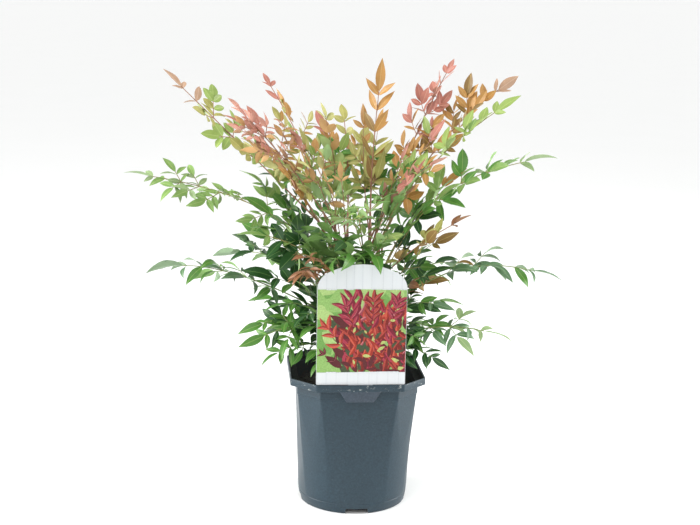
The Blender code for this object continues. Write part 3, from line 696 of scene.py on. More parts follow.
def card_material():
    """White printed card with a faint upright grain and a semi-gloss coat."""
    white = (0.600, 0.625, 0.640)
    shader = Shader("label_card", white, 0.34)
    grain = shader.noise(260.0, detail=4.0, vector=shader.stretched((1.0, 1.0, 0.10)))
    shader.paint(shader.ramp(grain, [(0.45, white), (0.80, (0.570, 0.600, 0.625))]))
    shader.polish(shader.ramp(grain, [(0.3, 0.30), (0.7, 0.40)]))
    shader.bump(grain, 0.00004, 0.4)
    return shader.material


def ink_material(name, colour):
    """One colour of the print, with the faint unevenness of a screened photograph."""
    shader = Shader(name, colour, 0.33, specular=0.15)
    dots = shader.noise(520.0, detail=3.0)
    stops = [(0.34, shaded(colour, 0.84)), (0.52, colour), (0.72, shaded(colour, 1.20))]
    shader.paint(shader.ramp(dots, stops))
    shader.polish(shader.ramp(dots, [(0.3, 0.29), (0.7, 0.38)]))
    return shader.material


# Outlines of the pot, seen from above

def rim_radius(angle):
    """Distance from the axis to the rim: a square with its corners cut off, and soft edges."""
    across = abs(math.cos(angle))
    along = abs(math.sin(angle))
    flat = POT_WIDTH / 2 / max(across, along)
    cut = (POT_WIDTH - CORNER_CUT) / (across + along)
    power = -CORNER_SHARPNESS
    least = min(flat, cut)
    return least * ((flat / least) ** power + (cut / least) ** power) ** (1 / power)


def corner_limit(share):
    """How far the body's corners reach: they are round up to the foot of the flat facets."""
    facet = (POT_WIDTH - CORNER_CUT) / math.sqrt(2)
    corner = math.hypot(POT_WIDTH / 2, POT_WIDTH / 2 - CORNER_CUT)
    return mix(facet, corner, max(0.0, (share - FACET_FOOT) / (1 - FACET_FOOT)))


def body_radius(angle, height):
    """The body is round at its foot and turns into the rim's outline on the way up."""
    share = min(max(height / COLLAR_BOTTOM, 0.0), 1.0) ** FLARE_POWER
    reach = min(rim_radius(angle), corner_limit(share))
    radius = FOOT_RADIUS + share * (reach * BODY_SCALE - FOOT_RADIUS)
    if height < FOOT_HEIGHT:
        radius -= FOOT_TUCK * (1 - height / FOOT_HEIGHT)
    return radius


def column_angles():
    """Even steps round the pot, and closer ones at the rim's eight corners."""
    corner = math.degrees(math.atan2(POT_WIDTH / 2 - CORNER_CUT, POT_WIDTH / 2))
    angles = [360 * (column + 0.5) / POT_COLUMNS for column in range(POT_COLUMNS)]
    for quarter in range(0, 360, 90):
        for turn in (corner, 90 - corner):
            angles += [quarter + turn + near for near in CORNER_COLUMNS]
    return [math.radians(angle) for angle in sorted(angles)]


COLUMN_ANGLES = column_angles()


def outline(radius_at, height):
    ring = []
    for angle in COLUMN_ANGLES:
        radius = radius_at(angle) if callable(radius_at) else radius_at
        ring.append(Vector((radius * math.cos(angle), radius * math.sin(angle), height)))
    return ring


def body_outline(height, inset=0.0):
    return outline(lambda angle: body_radius(angle, height) - inset, height)


def rim_outline(height, inset=0.0, scale=1.0):
    return outline(lambda angle: rim_radius(angle) * scale - inset, height)


def loft(rings):
    """A closed bmesh through the rings, capped at the first and the last."""
    bm = bmesh.new()
    loops = [[bm.verts.new(point) for point in ring] for ring in rings]
    for lower, upper in zip(loops, loops[1:]):
        for index in range(len(lower)):
            following = (index + 1) % len(lower)
            bm.faces.new((lower[index], lower[following], upper[following], upper[index]))
    bm.faces.new(list(reversed(loops[0])))
    bm.faces.new(loops[-1])
    return bm


# Pot

def rounded_edge(outline_at, height, inset, turn, steps=3):
    """Rings round an outer top edge (turn 1) or an inner one (turn -1)."""
    rings = []
    for step in range(steps + 1):
        angle = math.pi / 2 * step / steps
        if turn > 0:
            back = 1 - math.cos(angle)
            rise = math.sin(angle)
        else:
            back = -(1 - math.sin(angle))
            rise = math.cos(angle)
        rings.append(outline_at(height - EDGE_ROUND * (1 - rise), inset + back * EDGE_ROUND))
    return rings


def pot_rings():
    """From the raised middle of the underside, out and up to the rim, and down inside to the floor."""
    floor_top = FLOOR_UNDERSIDE + FLOOR
    foot_inner = FOOT_RADIUS - FOOT_TUCK - WALL - MILLIMETRE
    band_bottom = POT_HEIGHT - RIM_BAND
    ledge_top = band_bottom + LEDGE
    collar = BODY_SCALE * POT_WIDTH / 2 + COLLAR_STEP
    collar_scale = collar / (POT_WIDTH / 2)
    heights = [mix(FOOT_HEIGHT + MILLIMETRE, COLLAR_BOTTOM, step / BODY_RINGS)
               for step in range(BODY_RINGS + 1)]
    rings = [
        outline(MIDDLE_RADIUS, 0.0),
        outline(MIDDLE_RADIUS + MIDDLE_SLOPE, FLOOR_UNDERSIDE),
        outline(foot_inner, FLOOR_UNDERSIDE),
        outline(foot_inner, 0.0),
        body_outline(0.0, inset=EDGE_ROUND),
        body_outline(EDGE_ROUND / 3, inset=EDGE_ROUND / 3),
        body_outline(EDGE_ROUND),
        body_outline(FOOT_HEIGHT - MILLIMETRE),
        body_outline(FOOT_HEIGHT - MILLIMETRE / 2, inset=FOOT_GROOVE),
        body_outline(FOOT_HEIGHT, inset=FOOT_GROOVE),
    ]
    rings += [body_outline(height) for height in heights]
    rings += [
        rim_outline(COLLAR_BOTTOM + COLLAR_STEP, scale=collar_scale),
        rim_outline(COLLAR_BOTTOM + 2 * MILLIMETRE, scale=collar_scale),
        rim_outline(band_bottom - MILLIMETRE, scale=collar_scale),
        rim_outline(band_bottom, inset=-MILLIMETRE, scale=collar_scale),
        rim_outline(band_bottom, inset=EDGE_ROUND),
        rim_outline(band_bottom + EDGE_ROUND / 3, inset=EDGE_ROUND / 3),
        rim_outline(band_bottom + EDGE_ROUND),
        rim_outline(POT_HEIGHT - 3 * MILLIMETRE),
    ]
    rings += rounded_edge(rim_outline, POT_HEIGHT, 0.0, 1)
    rings += rounded_edge(rim_outline, POT_HEIGHT, RIM_WALL, -1)
    rings += [
        rim_outline(ledge_top + MILLIMETRE, inset=RIM_WALL),
        rim_outline(ledge_top, inset=RIM_WALL + EDGE_ROUND),
        rim_outline(ledge_top, inset=WALL - EDGE_ROUND, scale=BODY_SCALE),
        rim_outline(ledge_top - EDGE_ROUND, inset=WALL, scale=BODY_SCALE),
    ]
    rings += [body_outline(height, inset=WALL) for height in reversed(heights[::3])]
    rings += [
        body_outline(floor_top, inset=WALL),
        outline(MIDDLE_RADIUS + 2 * MIDDLE_SLOPE, floor_top),
        outline(MIDDLE_RADIUS + MIDDLE_SLOPE, FLOOR),
    ]
    return rings


def trapezoid_block(bottom_width, top_width, y_range, z_range):
    """A box that is wider at one end of its height than at the other."""
    bm = bmesh.new()
    bmesh.ops.create_cube(bm, size=1.0)
    for vert in bm.verts:
        vert.co.x *= top_width if vert.co.z > 0 else bottom_width
        vert.co.y = y_range[1] if vert.co.y > 0 else y_range[0]
        vert.co.z = z_range[1] if vert.co.z > 0 else z_range[0]
    return bm


def flap_block(band_bottom):
    """The flap under the rim's band, with its lower corners and its front edges rounded."""
    front = -POT_WIDTH / 2 + FLAP_SET_BACK
    low = band_bottom - FLAP_DROP
    high = band_bottom + MILLIMETRE
    bm = trapezoid_block(FLAP_BOTTOM_WIDTH, FLAP_WIDTH, (front, front + FLAP_THICKNESS), (low, high))
    corners = [edge for edge in bm.edges
               if all(vert.co.z < (low + high) / 2 for vert in edge.verts)
               and abs(edge.verts[0].co.y - edge.verts[1].co.y) > FLAP_THICKNESS / 2]
    bmesh.ops.bevel(bm, geom=corners, offset=FLAP_CORNER, segments=4, affect="EDGES", profile=0.5)
    edges = [edge for edge in bm.edges
             if all(abs(vert.co.y - front) < 1e-6 for vert in edge.verts)
             and not all(abs(vert.co.z - high) < 1e-6 for vert in edge.verts)]
    bmesh.ops.bevel(bm, geom=edges, offset=FLAP_EDGE, segments=2, affect="EDGES", profile=0.5)
    return object_from_bmesh("flap", bm, [])


def cut_or_join(target, tool, operation):
    """A Boolean whose result is kept in the mesh. The tool is removed."""
    modifier = target.modifiers.new(tool.name, "BOOLEAN")
    modifier.operation = operation
    modifier.object = tool
    modifier.solver = "EXACT"
    evaluated = target.evaluated_get(bpy.context.evaluated_depsgraph_get())
    result = bpy.data.meshes.new_from_object(evaluated)
    target.modifiers.clear()
    target.data = result
    bpy.data.objects.remove(tool, do_unlink=True)


def cut_drains(pot):
    """A notch in the foot and a hole in the floor on each of the four sides."""
    for turn in range(4):
        notch = object_from_bmesh("notch", trapezoid_block(
            DRAIN_WIDTH, DRAIN_TOP_WIDTH,
            (-FOOT_RADIUS - DRAIN_DEPTH, -FOOT_RADIUS + DRAIN_DEPTH), (-DRAIN_HEIGHT, DRAIN_HEIGHT)), [])
        notch.rotation_euler.z = turn * math.pi / 2
        cut_or_join(pot, notch, "DIFFERENCE")
        bm = bmesh.new()
        bmesh.ops.create_cone(bm, cap_ends=True, segments=28, radius1=HOLE_RADIUS,
                              radius2=HOLE_RADIUS, depth=4 * FLOOR)
        hole = object_from_bmesh("hole", bm, [])
        hole.location = polar(HOLE_CIRCLE, 90 * turn, FLOOR_UNDERSIDE + FLOOR / 2)
        cut_or_join(pot, hole, "DIFFERENCE")


def pot_face_slot(face, band_bottom):
    """Material of a face of the pot: 0 outside, 1 inside and underneath, where the near-black painted shade
    goes, 2 on the flap.
    """
    middle = face.center
    outward = face.normal.x * middle.x + face.normal.y * middle.y
    if FLOOR < middle.z < POT_HEIGHT - 2 * EDGE_ROUND and (outward < 0 or face.normal.z > 0.7):
        return 1
    if middle.z < FLOOR_UNDERSIDE + MILLIMETRE and math.hypot(middle.x, middle.y) < FOOT_RADIUS - 2 * WALL:
        return 1
    on_front = face.normal.y < -0.9 and middle.y < -POT_WIDTH / 2 + 2 * FLAP_SET_BACK
    if on_front and abs(middle.x) < FLAP_WIDTH / 2 and band_bottom - FLAP_DROP < middle.z < band_bottom:
        return 2
    return face.material_index


def build_pot():
    materials = [pot_material("pot_plastic", POT_COLOUR), pot_inner_painted_shade_material(),
                 pot_material("pot_flap", FLAP_COLOUR)]
    pot = object_from_bmesh("nursery_pot", loft(pot_rings()), materials)
    band_bottom = POT_HEIGHT - RIM_BAND
    cut_or_join(pot, flap_block(band_bottom), "UNION")
    slot = trapezoid_block(SLOT_WIDTH, SLOT_WIDTH, (SLOT_FRONT, SLOT_BACK),
                           (band_bottom - 2 * LEDGE, band_bottom + 3 * LEDGE))
    cut_or_join(pot, object_from_bmesh("slot", slot, []), "DIFFERENCE")
    cut_drains(pot)
    for face in pot.data.polygons:
        face.material_index = pot_face_slot(face, band_bottom)
    pot.data.shade_smooth()
    pot.data.set_sharp_from_angle(angle=math.radians(POT_SHARP_ANGLE))
    finish_piece(pot, ["pot"])


# Compost

def compost_height(x, y):
    place = Vector((x, y, 0.0))
    coarse = noise.noise(place * 45 + Vector((SEED, 0, 0)))
    fine = noise.noise(place * 210 + Vector((0, SEED, 0)))
    return COMPOST_TOP + COMPOST_BUMP * (0.6 * coarse + 0.4 * fine) - 0.25 * COMPOST_BUMP


def add_crumb(batch, place, size, rng):
    """An uneven twenty-sided chip, half sunk in the compost."""
    bm = bmesh.new()
    bmesh.ops.create_icosphere(bm, subdivisions=1, radius=1.0)
    turn = Matrix.Rotation(rng.uniform(0, 2 * math.pi), 3, "Z")
    spin = turn @ Matrix.Rotation(rng.uniform(-0.6, 0.6), 3, "X")
    shape = Vector((rng.uniform(0.9, 1.8), rng.uniform(0.6, 1.0), rng.uniform(0.35, 0.7)))
    points = []
    for vert in bm.verts:
        jagged = vert.co * rng.uniform(0.8, 1.2)
        points.append(place + spin @ (jagged * shape) * size)
    faces = [tuple(vert.index for vert in face.verts) for face in bm.faces]
    batch.add(points, faces, [0] * len(faces))
    bm.free()


def scatter_crumbs(gap):
    crumbs = Batch()
    rng = random.Random(f"{SEED} crumbs")
    for _ in range(CRUMBS):
        angle = rng.uniform(0, 360)
        reach = body_radius(math.radians(angle), COMPOST_TOP) - gap - 3 * MILLIMETRE
        distance = reach * math.sqrt(rng.random())
        place = polar(distance, angle, 0.0)
        place.z = compost_height(place.x, place.y)
        add_crumb(crumbs, place, rng.uniform(*CRUMB_SIZE), rng)
    chips = compost_material("bark_bits", (0.012, 0.008, 0.005), (0.06, 0.04, 0.027))
    finish_piece(crumbs.build("compost_crumbs", [chips]), [])


def build_compost():
    gap = WALL + CLEARANCE
    top = COMPOST_TOP - 2 * MILLIMETRE
    rings = [outline(MIDDLE_RADIUS, FLOOR + CLEARANCE),
             body_outline(FLOOR_UNDERSIDE + FLOOR + 2 * CLEARANCE, inset=gap + CLEARANCE)]
    rings += [body_outline(top * share, inset=gap) for share in (0.3, 0.6, 0.9)]
    edge = body_outline(COMPOST_TOP, inset=gap)
    for ring in range(COMPOST_RINGS):
        share = 1 - ring / COMPOST_RINGS
        rings.append([Vector((p.x * share, p.y * share, compost_height(p.x * share, p.y * share)))
                      for p in edge])
    # near-black peat: partly its own dark colour, partly painted shade under the foliage
    peat = compost_material("peat", (0.005, 0.004, 0.003), (0.024, 0.017, 0.012))
    surface = object_from_bmesh("compost_surface", loft(rings), [peat], smooth_angle=60)
    finish_piece(surface, ["compost"])
    scatter_crumbs(gap)


# Label

def arc(centre, radius, start, end, steps):
    points = []
    for step in range(steps + 1):
        angle = math.radians(mix(start, end, step / steps))
        points.append((centre[0] + radius * math.cos(angle), centre[1] + radius * math.sin(angle)))
    return points


def crown_height(x):
    """Height of the label's outline above its foot."""
    turn = math.radians(LABEL_SHOULDER_TURN)
    end = LABEL_WIDTH / 2 - LABEL_SHOULDER * (1 - math.cos(turn))
    end_height = LABEL_SHOULDER_FOOT + LABEL_SHOULDER * math.sin(turn)
    if abs(x) < end:
        return LABEL_HEIGHT - (LABEL_HEIGHT - end_height) * (x / end) ** 2
    beyond = abs(x) - (LABEL_WIDTH / 2 - LABEL_SHOULDER)
    return LABEL_SHOULDER_FOOT + math.sqrt(max(0.0, LABEL_SHOULDER ** 2 - beyond ** 2))


def label_outline():
    """Anticlockwise from the tongue's tip, with x across and y up from the rim's top edge."""
    half = LABEL_WIDTH / 2
    shoulder = (half - LABEL_SHOULDER, LABEL_SHOULDER_FOOT)
    right = arc(shoulder, LABEL_SHOULDER, 0, LABEL_SHOULDER_TURN, LABEL_STEPS)
    end = right[-1][0]
    across = [mix(end, -end, step / LABEL_STEPS) for step in range(1, LABEL_STEPS)]
    left = [(-x, y) for x, y in reversed(right)]
    neck = -TONGUE_LENGTH * 2 / 3
    return [
        (TONGUE_TIP_WIDTH / 2, -TONGUE_LENGTH),
        (TONGUE_WIDTH / 2, neck),
        (TONGUE_WIDTH / 2, 0.0),
        (half - MILLIMETRE, 0.0),
        (half, MILLIMETRE),
        *right,
        *[(x, crown_height(x)) for x in across],
        *left,
        (-half, MILLIMETRE),
        (-half + MILLIMETRE, 0.0),
        (-TONGUE_WIDTH / 2, 0.0),
        (-TONGUE_WIDTH / 2, neck),
        (-TONGUE_TIP_WIDTH / 2, -TONGUE_LENGTH),
    ]


def build_label():
    bm = bmesh.new()
    front_y = LABEL_Y - LABEL_THICKNESS / 2
    back_y = LABEL_Y + LABEL_THICKNESS / 2
    points = label_outline()
    front = [bm.verts.new((x, front_y, LABEL_FOOT + y)) for x, y in points]
    back = [bm.verts.new((x, back_y, LABEL_FOOT + y)) for x, y in points]
    bm.faces.new(front)
    bm.faces.new(list(reversed(back)))
    for index in range(len(points)):
        following = (index + 1) % len(points)
        bm.faces.new((front[index], back[index], back[following], front[following]))
    card = object_from_bmesh("label_card", bm, [card_material()], smooth_angle=30)
    finish_piece(card, ["label"])
    build_print(front_y)


# Each row of the print: ink, number of leaves, length range in mm, region (left, right, bottom, top
# as shares of the picture), main direction and spread in degrees, width as a share of the length
PRINT_LAYERS = [
    ("deep_green", 54, (18, 28), (0.24, 1.05, -0.08, 0.60), 80, 80, 0.42),
    ("maroon", 54, (18, 28), (0.22, 1.05, -0.08, 0.66), 95, 70, 0.36),
    ("crimson", 46, (18, 30), (0.28, 1.05, -0.05, 0.72), 100, 60, 0.32),
    ("lime_ink", 14, (9, 15), (0.45, 1.00, 0.02, 0.70), 60, 80, 0.40),
    ("brick", 46, (15, 26), (0.32, 1.05, -0.05, 0.76), 95, 60, 0.30),
    ("scarlet", 32, (14, 25), (0.36, 1.05, 0.00, 0.78), 95, 60, 0.30),
    ("maroon", 26, (12, 20), (0.30, 1.00, 0.00, 0.60), 120, 80, 0.30),
    ("pink_ink", 12, (11, 19), (0.30, 1.00, 0.15, 0.84), 90, 60, 0.26),
    ("brick", 22, (12, 22), (0.34, 1.00, 0.00, 0.60), 105, 60, 0.28),
    ("deep_green", 18, (9, 16), (0.32, 1.00, 0.00, 0.50), 70, 80, 0.36),
    ("scarlet", 14, (13, 22), (0.34, 1.00, 0.05, 0.70), 105, 50, 0.26),
    ("lime_ink", 12, (6, 11), (0.40, 0.98, 0.08, 0.72), 70, 80, 0.40),
    ("crimson", 18, (14, 24), (0.35, 1.00, 0.30, 0.90), 85, 45, 0.26),
]
# Sprigs that stand clear of the mass: foot (shares of the picture), direction, length in mm, pairs
PRINT_SPRIGS = [
    ((0.42, 0.52), 112, 46, 4, "crimson"),
    ((0.62, 0.58), 88, 42, 4, "brick"),
    ((0.30, 0.30), 128, 44, 3, "scarlet"),
    ((0.84, 0.60), 76, 38, 4, "crimson"),
    ((0.22, 0.12), 140, 26, 2, "maroon"),
]
INKS = {
    "field": (0.240, 0.405, 0.125),
    "field_light": (0.345, 0.490, 0.180),
    "field_dark": (0.150, 0.310, 0.080),
    "deep_green": (0.055, 0.075, 0.040),
    "maroon": (0.095, 0.024, 0.026),
    "crimson": (0.330, 0.042, 0.066),
    "brick": (0.340, 0.056, 0.042),
    "scarlet": (0.490, 0.090, 0.055),
    "pink_ink": (0.480, 0.170, 0.180),
    "crimson_shade": (0.165, 0.020, 0.035),
    "brick_shade": (0.170, 0.024, 0.020),
    "scarlet_shade": (0.290, 0.036, 0.024),
    "pink_ink_shade": (0.260, 0.055, 0.070),
    "lime_ink": (0.400, 0.450, 0.150),
    "rib": (0.450, 0.130, 0.140),
    "board": (0.600, 0.625, 0.640),
    "board_line": (0.400, 0.430, 0.455),
}
BOARD_WIDTH = (9, 14)           # mm, of the boards that the white bands show
BOARD_STEP = 1.3                # mm by which the boards' ends differ at the picture
LINE_WIDTH = 0.25
PRINT_STALK_WIDTH = 0.0007


class Print:
    """Flat shapes in front of the card, each a hair over the last, cut off at the picture's border."""

    def __init__(self, front_y):
        self.y = front_y - PRINT_CLEARANCE
        self.bm = bmesh.new()
        self.names = list(INKS)

    def shape(self, points, ink):
        self.y -= PRINT_STEP
        face = self.bm.faces.new([self.bm.verts.new((x, self.y, z)) for x, z in points])
        face.material_index = self.names.index(ink)

    def leaf(self, foot, direction, length, width, ink, rib=None):
        """An outline that is pointed at both ends and bowed, unevenly from leaf to leaf, to one side."""
        angle = math.radians(direction)
        along = Vector((math.cos(angle), math.sin(angle)))
        across = Vector((-along.y, along.x))
        bow = PRINT_LEAF_BOW * length * math.sin(direction)
        near = []
        far = []
        spines = []
        for step in range(PRINT_LEAF_STEPS + 1):
            share = step / PRINT_LEAF_STEPS
            spine = Vector(foot) + along * length * share + across * bow * math.sin(math.pi * share)
            half = width / 2 * math.sin(math.pi * share ** 0.8)
            near.append(tuple(spine - across * half))
            if 0 < step < PRINT_LEAF_STEPS:
                far.append(tuple(spine + across * half))
                spines.append(tuple(spine + across * half * PRINT_SHADE_EDGE))
        self.shape(near + far[::-1], ink)
        if ink + "_shade" in INKS:
            self.shape(near + spines[::-1], ink + "_shade")
        if rib:
            self.leaf(foot, direction, length * 0.92, width * 0.10, rib)

    def clip(self, left, right, bottom, top):
        for corner, normal in (((left, bottom), (-1, 0)), ((right, top), (1, 0)),
                               ((left, bottom), (0, -1)), ((right, top), (0, 1))):
            bmesh.ops.bisect_plane(self.bm, geom=self.bm.verts[:] + self.bm.edges[:] + self.bm.faces[:],
                                   plane_co=(corner[0], 0.0, corner[1]),
                                   plane_no=(normal[0], 0.0, normal[1]), clear_outer=True)


def print_boards(picture, left, right, rng):
    """White boards above and below the picture, with ends that step up and down."""

    def block(low_x, high_x, low_z, high_z, ink):
        picture.shape([(low_x, LABEL_FOOT + low_z), (high_x, LABEL_FOOT + low_z),
                       (high_x, LABEL_FOOT + high_z), (low_x, LABEL_FOOT + high_z)], ink)

    for upper in (False, True):
        x = left
        while x < right:
            following = min(right, x + rng.uniform(*BOARD_WIDTH) * MILLIMETRE)
            step = rng.uniform(0.1, BOARD_STEP) * MILLIMETRE
            line = x + LINE_WIDTH * MILLIMETRE
            if upper:
                top = min(crown_height(x), crown_height(line)) - MILLIMETRE
                block(x, following, PICTURE_TOP - step, PICTURE_TOP, "board")
                block(x, line, PICTURE_TOP, top, "board_line")
            else:
                block(x, following, PICTURE_BOTTOM, PICTURE_BOTTOM + step, "board")
                block(x, line, MILLIMETRE, PICTURE_BOTTOM, "board_line")
            x = following


def print_field(picture, at, rng):
    """A green field with soft darker and lighter patches."""
    picture.shape([at(0, 0), at(1, 0), at(1, 1), at(0, 1)], "field")
    for ink, count in (("field_dark", 16), ("field_light", 20)):
        for _ in range(count):
            foot = at(rng.uniform(-0.1, 0.9), rng.uniform(0.2, 1.0))
            direction = rng.uniform(0, 360)
            picture.leaf(foot, direction, rng.uniform(0.016, 0.034), rng.uniform(0.012, 0.022), ink)


def print_leaves(picture, at, rng):
    for ink, count, lengths, region, direction, spread, slimness in PRINT_LAYERS:
        for _ in range(count):
            foot = at(rng.uniform(region[0], region[1]), rng.uniform(region[2], region[3]))
            length = rng.uniform(*lengths) * MILLIMETRE
            rib = "rib" if ink in ("crimson", "scarlet") and rng.random() < 0.20 else None
            picture.leaf(foot, direction + rng.uniform(-spread, spread), length,
                         length * slimness * rng.uniform(0.8, 1.2), ink, rib)


def print_sprigs(picture, at, rng):
    for foot, direction, length, pairs, ink in PRINT_SPRIGS:
        foot = Vector(at(*foot))
        way = Vector((math.cos(math.radians(direction)), math.sin(math.radians(direction))))
        length = length * MILLIMETRE
        picture.leaf(tuple(foot), direction, length * 0.75, PRINT_STALK_WIDTH, "maroon")
        picture.leaf(tuple(foot + way * length * 0.66), direction, length * 0.44, length * 0.13, ink, "rib")
        for pair in range(pairs):
            node = foot + way * length * mix(0.12, 0.66, pair / max(1, pairs - 1))
            for side in (-1, 1):
                size = length * rng.uniform(0.34, 0.46)
                turn = side * rng.uniform(34, 58)
                picture.leaf(tuple(node), direction + turn, size, size * 0.30, ink, "rib")


def build_print(front_y):
    left = -LABEL_WIDTH / 2 + PICTURE_MARGIN
    right = -left
    bottom = LABEL_FOOT + PICTURE_BOTTOM
    top = LABEL_FOOT + PICTURE_TOP
    rng = random.Random(f"{SEED} print")
    picture = Print(front_y)

    def at(share_x, share_z):
        return (left + (right - left) * share_x, bottom + (top - bottom) * share_z)

    print_field(picture, at, rng)
    print_leaves(picture, at, rng)
    print_sprigs(picture, at, rng)
    picture.clip(left, right, bottom, top)
    print_boards(picture, left, right, rng)
    mesh = bpy.data.meshes.new("label_picture")
    picture.bm.to_mesh(mesh)
    picture.bm.free()
    for name, colour in INKS.items():
        mesh.materials.append(ink_material(f"ink_{name}", colour))
    finish_piece(new_object("label_picture", mesh), [])


# Canes, stalks and twigs

def cane_point(cane, height):
    """Middle of the cane at a height: it leans out from its foot and bows a little."""
    _, azimuth, tip = cane
    above = height - COMPOST_TOP
    share = above / (tip - COMPOST_TOP)
    bow = CANE_BOW * math.sin(math.pi * share)
    return polar(CANE_FOOT_CIRCLE + CANE_SPREAD * above + bow, azimuth, height)


def cane_radius(cane, height):
    share = (height - COMPOST_TOP) / (cane[2] - COMPOST_TOP)
    return mix(CANE_RADIUS, CANE_TIP_RADIUS, share)


def add_tube(batch, points, radius_at, sides):
    """A closed tube along the points. radius_at gives the radius from ring and angle."""
    way = (points[1] - points[0]).normalized()
    right = way.orthogonal().normalized()
    rings = []
    for index, point in enumerate(points):
        before = points[max(index - 1, 0)]
        after = points[min(index + 1, len(points) - 1)]
        way = (after - before).normalized()
        right = across_to(way, right)
        front = way.cross(right)
        for side in range(sides):
            angle = 2 * math.pi * side / sides
            radius = radius_at(index, angle)
            around = right * math.cos(angle) + front * math.sin(angle)
            rings.append(point + around * radius)
    faces = []
    for ring in range(len(points) - 1):
        for side in range(sides):
            following = (side + 1) % sides
            low = ring * sides
            high = low + sides
            faces.append((low + side, low + following, high + following, high + side))
    last = (len(points) - 1) * sides
    faces.append(tuple(reversed(range(sides))))
    faces.append(tuple(last + side for side in range(sides)))
    batch.add(rings, faces, [0] * len(faces))


def bark_radius(number, height, angle):
    """A cane under the fibrous bases of old leaves, one ragged sheath over the next."""
    cane = CANES[number]
    above = height - COMPOST_TOP
    flare = 1 + (CANE_FLARE - 1) * math.exp(-above / CANE_FLARE_HEIGHT)
    ragged = 0.10 * math.sin(3 * angle + number)
    sheath = (above / SHEATH_LENGTH + ragged + 0.37 * number) % 1.0
    swell = 1 + SHEATH_SWELL * (sheath ** 2 - 0.35)
    around = Vector((math.cos(angle), math.sin(angle), 0.0))
    shift = Vector((7.3 * number, 0.0, 0.0))
    ridges = 0.055 * noise.noise(around * 3.1 + Vector((0, 0, above * 60)) + shift)
    fibres = 0.035 * noise.noise(around * 8.0 + Vector((0, 0, above * 25)) + shift)
    return cane_radius(cane, height) * flare * swell * (1 + ridges + fibres)


def build_canes():
    bark = bark_material()
    for number, cane in enumerate(CANES):
        name, _, tip = cane
        foot = COMPOST_TOP - MILLIMETRE
        count = round((tip - foot) / CANE_RING_STEP)
        heights = [mix(foot, tip, step / count) for step in range(count + 1)]

        def radius_at(index, angle, number=number, heights=heights):
            return bark_radius(number, heights[index], angle)

        batch = Batch()
        add_tube(batch, [cane_point(cane, height) for height in heights], radius_at, CANE_SIDES)
        finish_piece(batch.build(f"bark_{name}", [bark]), [f"cane_{name}"])


class Arch:
    """The line of one spray, from its cane through its elbow to its tip."""

    SAMPLES = 80

    def __init__(self, spray):
        cane = next(entry for entry in CANES if entry[0] == spray.cane)
        azimuth = spray.azimuth
        self.bank = math.radians(spray.bank + spray.tilt)
        self.elbow = polar(spray.elbow[0] * MILLIMETRE, azimuth, spray.elbow[1] * MILLIMETRE)
        self.tip = polar(spray.tip[0] * MILLIMETRE, azimuth, spray.tip[1] * MILLIMETRE)
        self.across = polar(1.0, azimuth + 90, 0.0)
        if spray.leave is None:
            self.start = self.start_on_tip(cane)
        else:
            self.start = self.start_on_side(cane, spray.leave * MILLIMETRE, azimuth)
        samples = [self.point(step / self.SAMPLES) for step in range(self.SAMPLES + 1)]
        self.lengths = [0.0]
        for before, after in zip(samples, samples[1:]):
            self.lengths.append(self.lengths[-1] + (after - before).length)

    def start_on_tip(self, cane):
        top = cane_point(cane, cane[2])
        below = cane_point(cane, cane[2] - 10 * MILLIMETRE)
        cane_way = (top - below).normalized()
        stalk_way = (self.elbow - top).normalized()
        lean = cane_way.cross(stalk_way).length
        return top + cane_way * (CLEARANCE + STALK_RADIUS * lean)

    def start_on_side(self, cane, height, azimuth):
        middle = cane_point(cane, height)
        outward = polar(1.0, azimuth, 0.0)
        stalk_way = (self.elbow - middle).normalized()
        rise = math.sqrt(max(0.0, 1 - stalk_way.dot(outward) ** 2))
        return middle + outward * (cane_radius(cane, height) + CLEARANCE + STALK_RADIUS * rise)

    def point(self, share):
        rest = 1 - share
        return rest * rest * self.start + 2 * rest * share * self.elbow + share * share * self.tip

    def direction(self, share):
        first = self.elbow - self.start
        second = self.tip - self.elbow
        return ((1 - share) * first + share * second).normalized()

    def frame(self, share):
        forward = self.direction(share)
        sideways = Matrix.Rotation(self.bank, 3, forward) @ self.across
        return forward, sideways, forward.cross(sideways)

    def share_at(self, length):
        """The share of the curve that lies before a length along it."""
        for index in range(self.SAMPLES):
            if self.lengths[index + 1] >= length:
                step = self.lengths[index + 1] - self.lengths[index]
                return (index + (length - self.lengths[index]) / step) / self.SAMPLES
        return 1.0


# Leaflets

def blocked(point):
    """True inside the label, or in the wall or the rim of the pot."""
    over_label = (abs(point.x) < LABEL_WIDTH / 2 + MILLIMETRE
                  and point.z < LABEL_FOOT + LABEL_HEIGHT + MILLIMETRE)
    if over_label and abs(point.y - LABEL_Y) < LABEL_KEEP_OFF:
        return True
    if point.z < COMPOST_TOP + MILLIMETRE:
        return True
    if point.z > RIM_KEEP_OFF:
        return False
    angle = math.atan2(point.y, point.x)
    distance = math.hypot(point.x, point.y)
    inner = body_radius(angle, COLLAR_BOTTOM) - POT_KEEP_OFF
    return inner < distance < rim_radius(angle) + POT_KEEP_OFF


def centreline(base, forward, normal, length, bend):
    """Points, directions and upright directions along a leaflet that bends away from its normal."""
    points = [base]
    ways = []
    ups = []
    for row in range(LEAF_ROWS + 1):
        angle = bend * (row / LEAF_ROWS) ** 1.4
        ways.append(forward * math.cos(angle) - normal * math.sin(angle))
        ups.append(normal * math.cos(angle) + forward * math.sin(angle))
    for row in range(LEAF_ROWS):
        step = (ways[row] + ways[row + 1]).normalized() * length / LEAF_ROWS
        points.append(points[-1] + step)
    return points, ways, ups


def leaf_half_width(share, base_power, tip_power):
    peak = base_power / (base_power + tip_power)
    return (share / peak) ** base_power * ((1 - share) / (1 - peak)) ** tip_power


